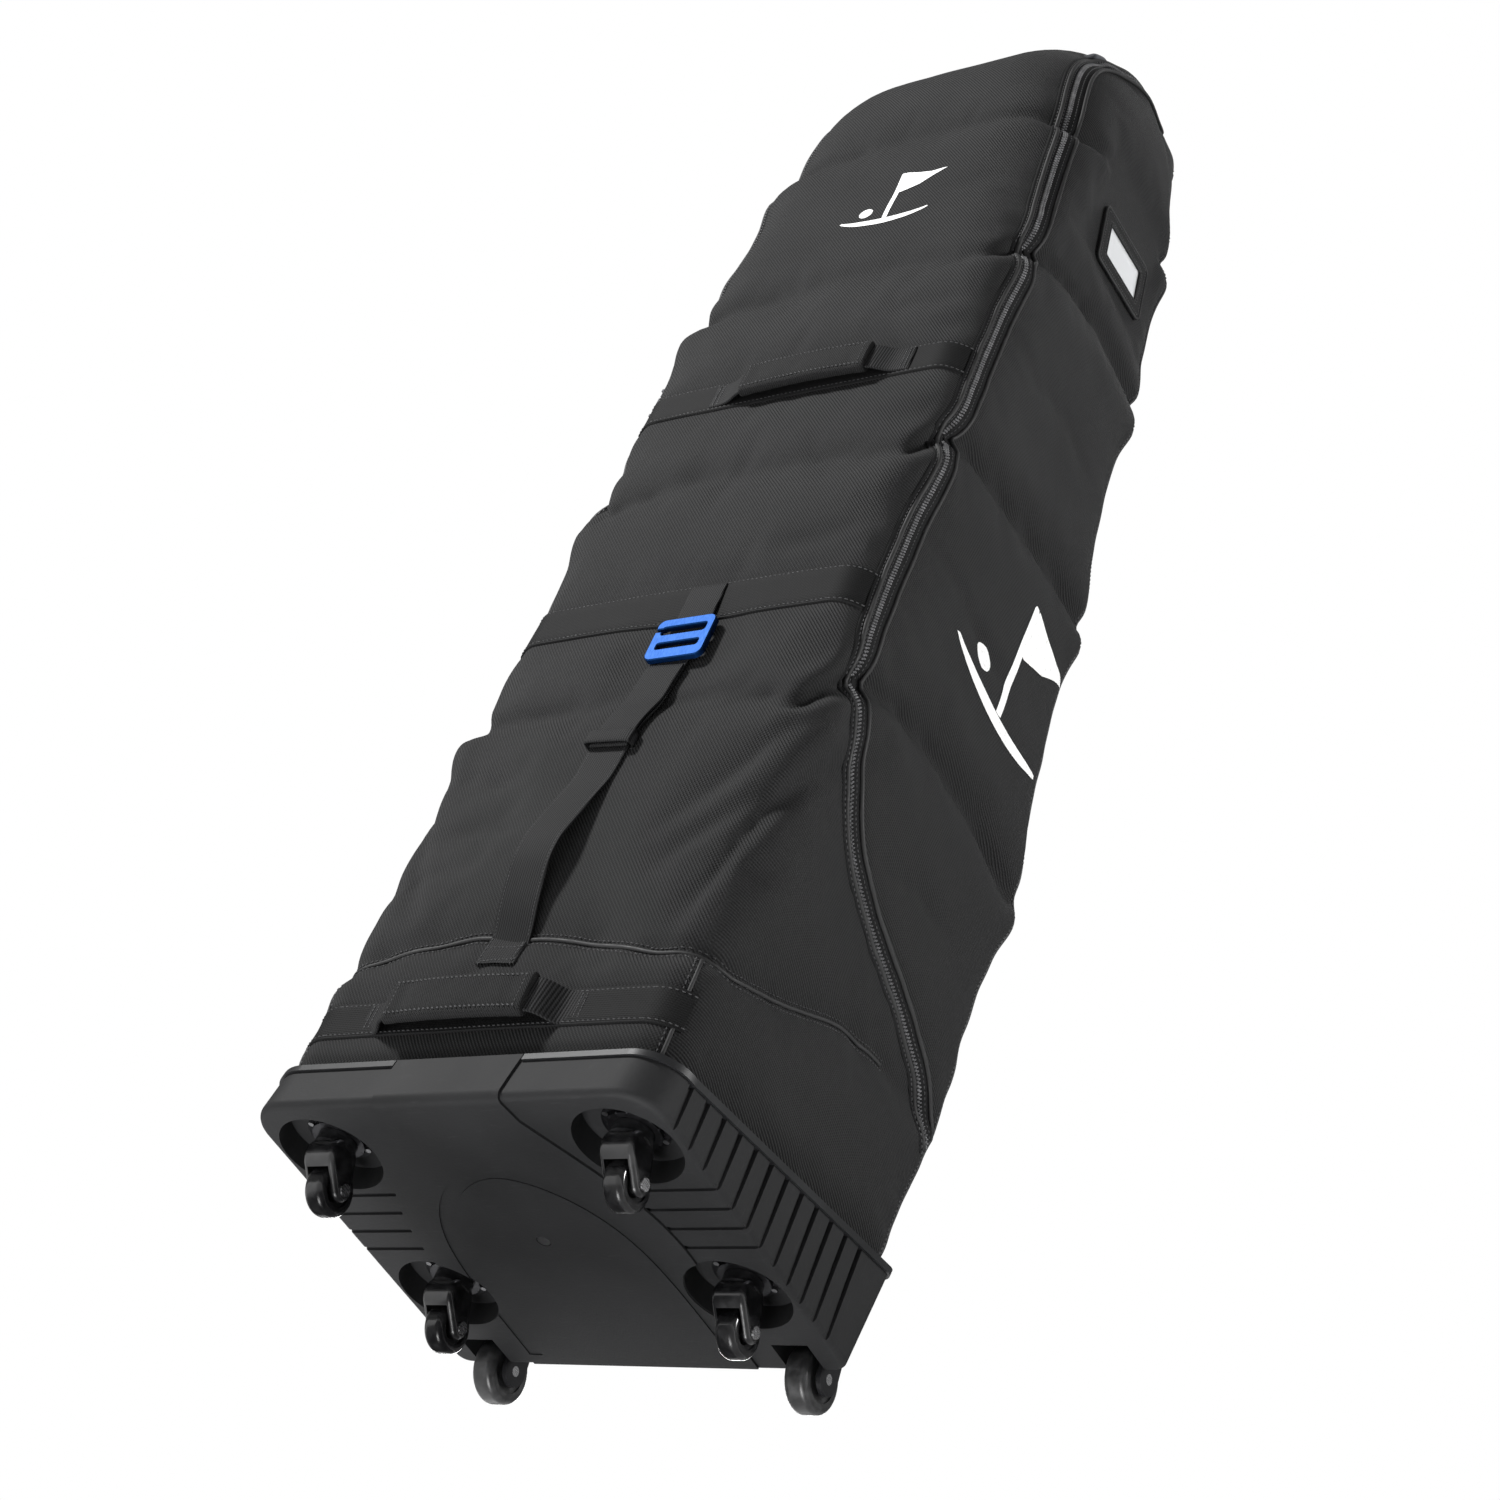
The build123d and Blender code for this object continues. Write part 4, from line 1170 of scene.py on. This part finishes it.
def make_grip_tabs(node_name, body):
    """Webbing from each end of a grip down to the band, baked in place."""
    low, high = box_mm(node_name)
    tab_low, tab_high = box_mm(f"{node_name}_tabs")
    middle_y, middle_z = (low[1] + high[1]) / 2, (low[2] + high[2]) / 2
    foot_y = front_y - webbing - 2.2
    ends = (("left", low[0], tab_low[0], -1), ("right", high[0], tab_high[0], 1))
    for word, end, foot, way in ends:
        corners = [(end - way * 9, middle_y + 2), (end + way * 1, middle_y + 2),
                   (end + way * 7, middle_y + 5), (foot - way * 5, foot_y - 1.2),
                   (foot + way * 4, foot_y), (foot + way * 14, foot_y + 0.6)]
        path = eased(resampled([(x, y, middle_z) for x, y in corners], 2.0), 8)
        half = (high[2] - low[2]) / 2 - 4
        strap = flat_strap("strap", path, half, 2.2, strap_webbing)
        x = np.full(9, foot + way * 10)
        z = np.linspace(-half + 3, half - 3, 9) + middle_z
        rows = []
        for shift in (0, -4):
            places = np.stack([x + way * shift, np.full(9, foot_y - 0.7), z], axis=1)
            out = facing(forward, places)
            rows.append(grains("row", places, tangents(places), out, (3.0, 1.0, 0.7), thread))
        tab = joined(f"{node_name}_tab_{word}", [strap] + rows)
        replaced = (f"{node_name}_tabs",) if word == "left" else ()
        finish_piece(tab, body, replaced, node_name)


# ---------------------------------------------------------------- lash strap and hook
strap_foot = (-10.0, 192.0)
strap_head = (14.0, 492.0)
strap_bow = 26.0
keeper_z = 380.0
strap_half = 18.0


def strap_x(z):
    """The strap leans from its foot to the hook."""
    run, rise = strap_head[0] - strap_foot[0], strap_head[1] - strap_foot[1]
    return strap_foot[0] + run * (z - strap_foot[1]) / rise


def in_front_of(outside, path, gap):
    """The path moved forward where it would touch the bag's front."""
    result = []
    for x, y, z in path:
        hit = outside.tree.ray_cast(Vector((x, -400, z)), Vector((0, 1, 0)))[0]
        result.append((x, min(y, hit.y - gap) if hit else y, z))
    return np.array(result)


def make_lash_strap(outside):
    """The strap bows out from its foot, passes the keeper and threads the hook; its tail lies on it."""
    rest = front_y - webbing
    plate = box_mm("hook_buckle")[1][1]
    profile = [(rest + 1.0, 184), (rest - 1.2, 193), (rest - strap_bow * 0.5, 216),
               (rest - strap_bow * 0.94, 250), (rest - strap_bow, 272), (rest - strap_bow * 0.52, 332),
               (rest - 6.0, 366), (rest - 5.0, 392), (rest - 4.0, 425), (plate + 1.6, 462),
               (plate + 1.4, 482), (plate - 1.6, 490), (plate + 1.4, 498), (plate + 1.6, 505)]
    path = resampled([(strap_x(z), y, z) for y, z in profile], 3.0)
    foot_end, free_part, hook_end = path[:2], path[2:-14], path[-14:]
    path = eased(np.concatenate([foot_end, in_front_of(outside, free_part, 2.2), hook_end]), 10)
    main = flat_strap("main", path, strap_half, webbing, strap_webbing)
    tail_profile = [(rest - 9.3, 372), (rest - 8.4, 392), (rest - 7.2, 425), (plate + 0.1, 455),
                    (plate + 0.2, 470)]
    tail_path = resampled([(strap_x(z) + 0.8, y, z) for y, z in tail_profile], 3.0)
    tail_path = eased(in_front_of(outside, tail_path, 5.4), 6)
    tail = flat_strap("tail", tail_path, strap_half - 0.4, webbing, strap_webbing)
    lean = tangents(path)
    aside = unit(np.cross(facing(forward, path), lean))
    out = unit(np.cross(lean, aside))
    rows = []
    for side in (-1, 1):
        places = path + aside * side * (strap_half - 2.5) + out * webbing * 0.5
        rows.append(grains("row", places[4:-8], lean[4:-8], out[4:-8], (2.0, 0.6, 0.15), thread))
    strap = joined("lash_strap", [main, tail] + rows)
    finish_piece(strap, "case", ("lash_strap_lower", "lash_strap_upper"), "lid")
    make_strap_foot(outside)
    make_keeper(outside)
    make_buckle_loop()


def make_strap_foot(outside):
    """The short stitched tab under the boot seam that holds the strap's foot."""
    x, thickness, pitch = strap_x(180), 2.2, 3.4
    path = [(x - 0.08 * (strap_foot[1] - z), front_y - 4, z) for z in np.linspace(168, 198, 14)]
    tab = strip_on("tab", outside, path, *band_profile(strap_half, thickness), strap_webbing)
    facing_out(tab, outside)
    rows = [stitch_row("row", outside, path, side * (strap_half - 3), thickness, pitch) for side in (-1, 1)]
    for z in (171, 184):
        level = [(x + u, front_y - 4, z) for u in (-15, 0, 15)]
        rows.append(stitch_row("row", outside, level, 0, thickness, pitch))
    finish_piece(joined("strap_foot_tab", [tab] + rows), "case")


def make_keeper(outside):
    """A loop of webbing round the strap and its tail, with the ends sewn down behind."""
    rest = front_y - webbing
    middle = in_front_of(outside, [(strap_x(keeper_z), rest - 6.5, keeper_z)], 4.2)[0]
    depth_over_all = 9.5
    loop = rounded_section(2 * strap_half + 7, depth_over_all, 5.0, 44)
    lean = math.atan2(strap_head[0] - strap_foot[0], strap_head[1] - strap_foot[1])
    points = []
    section = [(-7.0, 0.0), (-6.4, 0.9), (-3.0, 1.25), (0.0, 1.3), (3.0, 1.25), (6.4, 0.9), (7.0, 0.0),
               (6.4, -0.5), (0.0, -0.6), (-6.4, -0.5)]
    for u, v in loop:
        out = unit((u / (strap_half + 3) ** 2, v / (depth_over_all / 2) ** 2))
        for along, lift in section:
            across, depth = u + out[0] * lift, v + out[1] * lift
            x = middle[0] + across * math.cos(lean) + along * math.sin(lean)
            z = middle[2] - across * math.sin(lean) + along * math.cos(lean)
            points.append((x, middle[1] + depth, z))
    count = len(points)
    faces = grid_faces(len(loop) + 1, len(section), closed=True)
    faces = [tuple(index % count for index in face) for face in faces]
    keeper = close_up(mesh_piece("keeper", points, faces, [strap_webbing]))
    subdivided(keeper)
    keeper.name = "strap_keeper_loop"
    finish_piece(keeper, "case", ("strap_keeper",))


def make_buckle_loop():
    """Webbing from under the middle band that the hook catches."""
    low, high = box_mm("buckle_loop")
    middle = (low[0] + high[0]) / 2
    plate = box_mm("hook_buckle")[1][1]
    corners = [(front_y - webbing - 2.4, high[2] + 4), (front_y - webbing - 2.6, 532),
               (plate + 0.6, 524), (plate + 1.2, 512), (plate + 1.0, 503)]
    path = eased(resampled([(middle, y, z) for y, z in corners], 2.0), 5)
    loop = flat_strap("buckle_webbing", path, (high[0] - low[0]) / 2, 2.0, strap_webbing)
    finish_piece(loop, "lid", ("buckle_loop",))


# ---------------------------------------------------------------- seams, pocket and prints
def rear_seam_line(outside, side):
    """The cloth's rear corner line, met by rays that come in square to the corner."""
    inward = Vector((-side, -1, 0)).normalized()
    places = []
    for z in np.arange(140, 1390, 5):
        corner = Vector((side * float(half_width_at(z)), float(rear_line(z)), z))
        spot = outside.tree.ray_cast(corner - inward * 60, inward)[0]
        if spot is not None:
            places.append(tuple(spot))
    return places


def make_seams(outside):
    """Piping and stitch rows along the sewn edges of the fixed panels."""
    pieces = []
    front_and_right = [p for p in creases["boot"][0] if p[1] < 100 and p[0] > -150]
    left = [(-half_width, y, z + 4) for y, z in ((5, 236), (-60, 200), (-120, 172))]
    seam = eased(resampled(left + front_and_right[:-1], 6), 4)
    places, normals = outside.line(seam)
    ridge = eased(places, 2) + normals * 0.5
    pieces.append(tube_along("ridge", ridge, normals, 1.7, piping_look, 8, 0.8))
    for offset in (-4.4, 4.4):
        pieces.append(stitch_row("row", outside, seam, offset, 0.3, 4.4))
    for side in (-1, 1):
        corner = [(side * 157, -146, z) for z in np.linspace(rim_level + 8, 172, 18)]
        places, normals = outside.line(corner)
        ridge = eased(places, 2) + normals * 0.4
        pieces.append(tube_along("ridge", ridge, normals, 1.5, piping_look, 8, 0.8))
        pieces.append(stitch_row("row", outside, corner, side * 4.2, 0.3, 4.4))
        edge = rear_seam_line(outside, side)
        places, normals = outside.line(eased(edge, 1))
        places = eased(places, 1) + normals * 0.4
        pieces.append(tube_along("edge", places, normals, 1.9, piping_look, 8, 0.9))
        for offset in (-5.0, 5.0):
            pieces.append(stitch_row("row", outside, edge, offset, 0.3, 4.6))
    finish_piece(joined("sewn_seams", pieces), "case")


pocket_tilt = math.radians(12)


def pocket_place(u, v, lift):
    """u to the rear and v up on the tilted pocket, lift out from the side."""
    low, high = box_mm("id_pocket")
    centre = (low + high) / 2
    y = centre[1] + u * math.cos(pocket_tilt) - v * math.sin(pocket_tilt)
    z = centre[2] + u * math.sin(pocket_tilt) + v * math.cos(pocket_tilt)
    return (low[0] + lift, y, z)


def rounded_loop(width, height, radius, shut=False):
    """A rounded rectangle as a run of (u, v) points, the first one repeated at the end if shut."""
    loop = []
    for cu, cv, begin in ((1, 1, 0), (-1, 1, 90), (-1, -1, 180), (1, -1, 270)):
        centre = (cu * (width / 2 - radius), cv * (height / 2 - radius))
        loop += arc(centre, radius, radius, np.radians(np.linspace(begin, begin + 90, 12)))
    return loop + loop[:1] if shut else loop


def make_pocket():
    """Sewn address pocket with a bound edge and a window, its mouth open above the card."""
    low, high = box_mm("id_pocket")
    deep, mouth_lift = high[0] - low[0], 1.7
    # Width, height, corner radius and lift of each level, from the outer edge in to the window.
    levels = [(94, 66, 6, -1.2), (94, 66, 6, deep - 1.2), (92, 64, 5.5, deep - 0.2), (86, 58, 4.5, deep),
              (76, 46, 3.5, deep + 0.2), (69, 39, 2.5, deep + 0.1), (66.5, 36.5, 2.2, deep - 0.5),
              (66, 36, 2, 1.9)]
    points = []
    for width, height, radius, lift in levels:
        for u, v in rounded_loop(width, height, radius):
            mouth = v > 28 and abs(u) < 43
            points.append(pocket_place(u, v, max(lift, mouth_lift) if mouth else lift))
    count = len(points) // len(levels)
    faces = grid_faces(len(levels), count, closed=True)
    face = close_up(mesh_piece("face", points, faces, [fabric_smooth]))
    if face.data.polygons[3 * count].normal.x < 0:
        face.data.flip_normals()
    pieces = [face]
    outward = (1.0, 0.0, 0.0)
    bindings = ((93, 65, 6, deep - 0.6, 1.4), (67.5, 37.5, 2.5, deep - 0.1, 0.9))
    for width, height, radius, lift, size in bindings:
        loop = rounded_loop(width, height, radius, shut=True)
        places = np.array([pocket_place(u, v, lift) for u, v in loop])
        out = facing(outward, places)
        pieces.append(tube_along("binding", places, out, size, piping_look))
    for width, height in ((86, 58), (73, 43)):
        loop = rounded_loop(width, height, 4, shut=True)
        places = resampled([pocket_place(u, v, deep + 0.05) for u, v in loop], 3.4)
        out = facing(outward, places)
        pieces.append(grains("row", places, tangents(places), out, (2.4, 0.8, 0.5), thread))
    finish_piece(joined("id_pocket_sewn", pieces), "case", ("id_pocket",))


def filled(outlines, step=6.0):
    """Triangles that fill flat outlines, fine enough to follow the cloth."""
    vertices, edges = [], []
    for outline in outlines:
        fine = resampled(list(outline) + [outline[0]], step)[:-1]
        first = len(vertices)
        vertices += [Vector(p) for p in fine]
        edges += [(first + k, first + (k + 1) % len(fine)) for k in range(len(fine))]
    low = np.min([v[:] for v in vertices], axis=0)
    high = np.max([v[:] for v in vertices], axis=0)
    for u in np.arange(low[0], high[0], step):
        for v in np.arange(low[1], high[1], step):
            vertices.append(Vector((u + 0.3, v + 0.2)))
    places, _, faces, *_ = delaunay_2d_cdt(vertices, edges, [], 1, 1e-4)
    return places, [tuple(face) for face in faces]


def pennant_outlines(size):
    """A made-up golf-flag sign: pole, waving pennant, ball and a rise of ground."""
    pole = [(-0.03, -0.36), (0.03, -0.36), (0.03, 0.50), (-0.03, 0.50)]
    flag = [(0.03, 0.50), (0.20, 0.45), (0.36, 0.42), (0.56, 0.44), (0.40, 0.33), (0.26, 0.22), (0.03, 0.12)]
    sweep = np.radians(np.linspace(205, 335, 26))
    ground = arc((-0.02, -0.21), 0.62, 0.24, sweep) + arc((-0.02, -0.245), 0.60, 0.12, sweep[::-1])
    ball = arc((-0.28, -0.20), 0.085, 0.085, np.linspace(0, 2 * math.pi, 25)[:-1])
    return [[(u * size, v * size) for u, v in outline] for outline in (pole, flag, ground, ball)]


def make_print(name, outside, centre, size, right, up, body):
    """The pennant sign printed on the cloth; right and up are its directions on the bag."""
    points, faces = [], []
    right, up, centre = np.array(right, float), np.array(up, float), np.array(centre, float)
    for outline in pennant_outlines(size):
        places, triangles = filled([outline], max(2.5, size / 30))
        first = len(points)
        for place in places:
            spot, normal = outside.at(centre + right * place[0] + up * place[1])
            points.append(spot + normal * 0.45)
        faces += [tuple(first + i for i in triangle) for triangle in triangles]
    piece = facing_out(mesh_piece(name, points, faces, [print_look]), outside)
    finish_piece(piece, body)


# ---------------------------------------------------------------- inside
def make_top_pad():
    """Quilted pad under the crown, following the dome inside the lid."""
    low, high = box_mm("top_pad")
    start = math.acos((dome_centre[0] - low[1]) / (top_front_round - wall - 2))
    columns, rows = 41, 31
    layers = []
    inside = top_front_round - wall
    for radius, puff in ((inside - 2.5, 0.0), (inside - 8.5, 4.0)):
        layer = []
        for row in range(rows):
            angle = start + (math.pi / 2 - start) * row / (rows - 1)
            height = dome_centre[1] + radius * math.sin(angle)
            wide = min(high[0], float(half_width_at(min(height + 14, top_z - 4))) - 16)
            along = abs(math.sin(math.pi * 3 * row / (rows - 1)))
            for column in range(columns):
                share = 2 * column / (columns - 1) - 1
                cell = abs(math.sin(math.pi * 4 * (share + 1) / 2)) * along
                reach = radius - puff * cell ** 0.5
                y = dome_centre[0] - reach * math.cos(angle)
                layer.append((share * wide, y, dome_centre[1] + reach * math.sin(angle)))
        layers.append(layer)
    points = layers[0] + layers[1]
    count = rows * columns
    faces = grid_faces(rows, columns)
    faces += [tuple(reversed(face)) for face in grid_faces(rows, columns, first=count)]
    border = list(range(columns)) + [r * columns + columns - 1 for r in range(1, rows)]
    border += [(rows - 1) * columns + c for c in range(columns - 2, -1, -1)]
    border += [r * columns for r in range(rows - 2, 0, -1)]
    for a, b in zip(border, border[1:] + border[:1]):
        faces.append((a, b, b + count, a + count))
    pad = close_up(mesh_piece("crown_pad", points, faces, [lining]))
    subdivided(pad)
    finish_piece(pad, "lid", ("top_pad",))


def make_inner_straps():
    """Two straps that hold the golf bag, each in two halves with a loose tail."""
    strap_heights, half, board_front = (520.0, 900.0), 18.5, 17.5
    slope = (rear_depths[3] - rear_depths[4]) / (rear_heights[4] - rear_heights[3])
    pieces = []
    for z in strap_heights:
        back = rear_depths[3] - slope * max(z + 19 - rear_heights[3], 0) - board_front
        for side in (-1, 1):
            corners = [(side * 20, back - 6, z), (side * 34, back - 4.5, z), (side * 60, back - 8, z - 1),
                       (side * 96, back - 7, z - 2), (side * 126, back - 2, z), (side * 138, back + 1, z)]
            path = eased(resampled(corners, 3.0), 8)
            pieces.append(flat_strap("half", path, half, webbing, band_webbing))
        corners = [(22, back - 8.5, z), (40, back - 9, z), (64, back - 13, z - 6), (84, back - 12, z - 22),
                   (92, back - 12, z - 44)]
        path = eased(resampled(corners, 3.0), 6)
        pieces.append(flat_strap("tail", path, half - 1, webbing, band_webbing))
    finish_piece(joined("inner_strap_webbing", pieces), "case", ("inner_straps",))


# ---------------------------------------------------------------- camera, floor and light
def make_camera():
    """The photograph's view: from low in front of the right side, looking up, rolled."""
    place = Vector((1.1543, -1.2595, -0.8792))
    target = Vector((-0.150, 0.143, 0.700))
    roll = math.radians(23.85)
    view = (target - place).normalized()
    right = view.cross(Vector((0, 0, 1))).normalized()
    up = right.cross(view)
    turned_right = right * math.cos(roll) + up * math.sin(roll)
    turned_up = up * math.cos(roll) - right * math.sin(roll)
    data = bpy.data.cameras.new("camera")
    data.lens = 64.64
    data.sensor_width = 36
    data.clip_end = 20
    camera = bpy.data.objects.new("camera", data)
    rotation = Matrix((turned_right, turned_up, -view)).transposed()
    camera.matrix_world = Matrix.Translation(place) @ rotation.to_4x4()
    scene.collection.objects.link(camera)
    scene.camera = camera


def make_floor():
    """A pale floor that only shows from above, so that the low camera sees past it."""
    half = 6000.0
    corners = [(-half, -half, 0), (half, -half, 0), (half, half, 0), (-half, half, 0)]
    floor = mesh_piece("floor", corners, [(0, 1, 2, 3)], [], smooth=False)
    material, tree, shader = new_material("floor")
    grain = speckle(tree, 6.0, 3.0)
    base = ramp(tree, grain, 0.3, 0.7, (0.80, 0.80, 0.80), (0.84, 0.84, 0.84))
    tree.links.new(base, shader.inputs["Base Color"])
    shader.inputs["Roughness"].default_value = 0.6
    clear = node(tree, "ShaderNodeBsdfTransparent")
    behind = node(tree, "ShaderNodeNewGeometry").outputs["Backfacing"]
    both = node(tree, "ShaderNodeMixShader", {0: behind, 1: shader.outputs[0], 2: clear.outputs[0]})
    tree.links.new(both.outputs[0], tree.nodes["Material Output"].inputs["Surface"])
    floor.data.materials.append(material)
    floor.visible_shadow = False


def area_light(name, place, target, size, power):
    """A white rectangular lamp turned to its target; places in metres, power in watts."""
    data = bpy.data.lights.new(name, "AREA")
    data.shape = "RECTANGLE"
    data.size, data.size_y = size
    data.energy = power
    lamp = bpy.data.objects.new(name, data)
    direction = Vector(target) - Vector(place)
    lamp.rotation_euler = direction.to_track_quat("-Z", "Y").to_euler()
    lamp.location = place
    lamp.visible_camera = False
    scene.collection.objects.link(lamp)


def make_light():
    """A white surround, brighter to the camera than to the case, and five lamps."""
    world = bpy.data.worlds.new("studio")
    scene.world = world
    world.use_nodes = True
    tree = world.node_tree
    background = tree.nodes["Background"]
    seen = node(tree, "ShaderNodeLightPath").outputs["Is Camera Ray"]
    tree.links.new(mix(tree, seen, 0.20, 1.0), background.inputs["Strength"])
    background.inputs["Color"].default_value = (1, 1, 1, 1)
    middle = (0, 0, 0.7)
    area_light("key_front", (-1.5, -2.3, 2.2), middle, (0.45, 0.45), 136)
    area_light("low_front", (0.2, -0.7, -2.6), (0, 0, 0.1), (1.2, 1.0), 98)
    area_light("side_right", (2.4, 0.5, 1.3), middle, (0.5, 0.7), 46)
    area_light("top", (0.2, 0.9, 3.2), middle, (1.2, 1.2), 9)
    area_light("rear_left", (-1.7, 2.4, 1.6), middle, (1.2, 1.4), 70)
    scene.view_settings.view_transform = "Standard"


make_camera()
make_floor()
make_light()
bag_outside = make_bag()
make_zip(bag_outside)
make_bands(bag_outside)
make_grip("lower_grip", "case")
make_grip("upper_grip", "lid")
make_lash_strap(bag_outside)
make_seams(bag_outside)
make_pocket()
make_print("side_sign_right", bag_outside, (half_width, 46, 652), 150, (0, 1, 0), (0, 0, 1), "case")
make_print("front_sign", bag_outside, (20, front_y - 4, 1086), 82, (1, 0, 0), (0, 0, 1), "lid")
make_top_pad()
make_inner_straps()
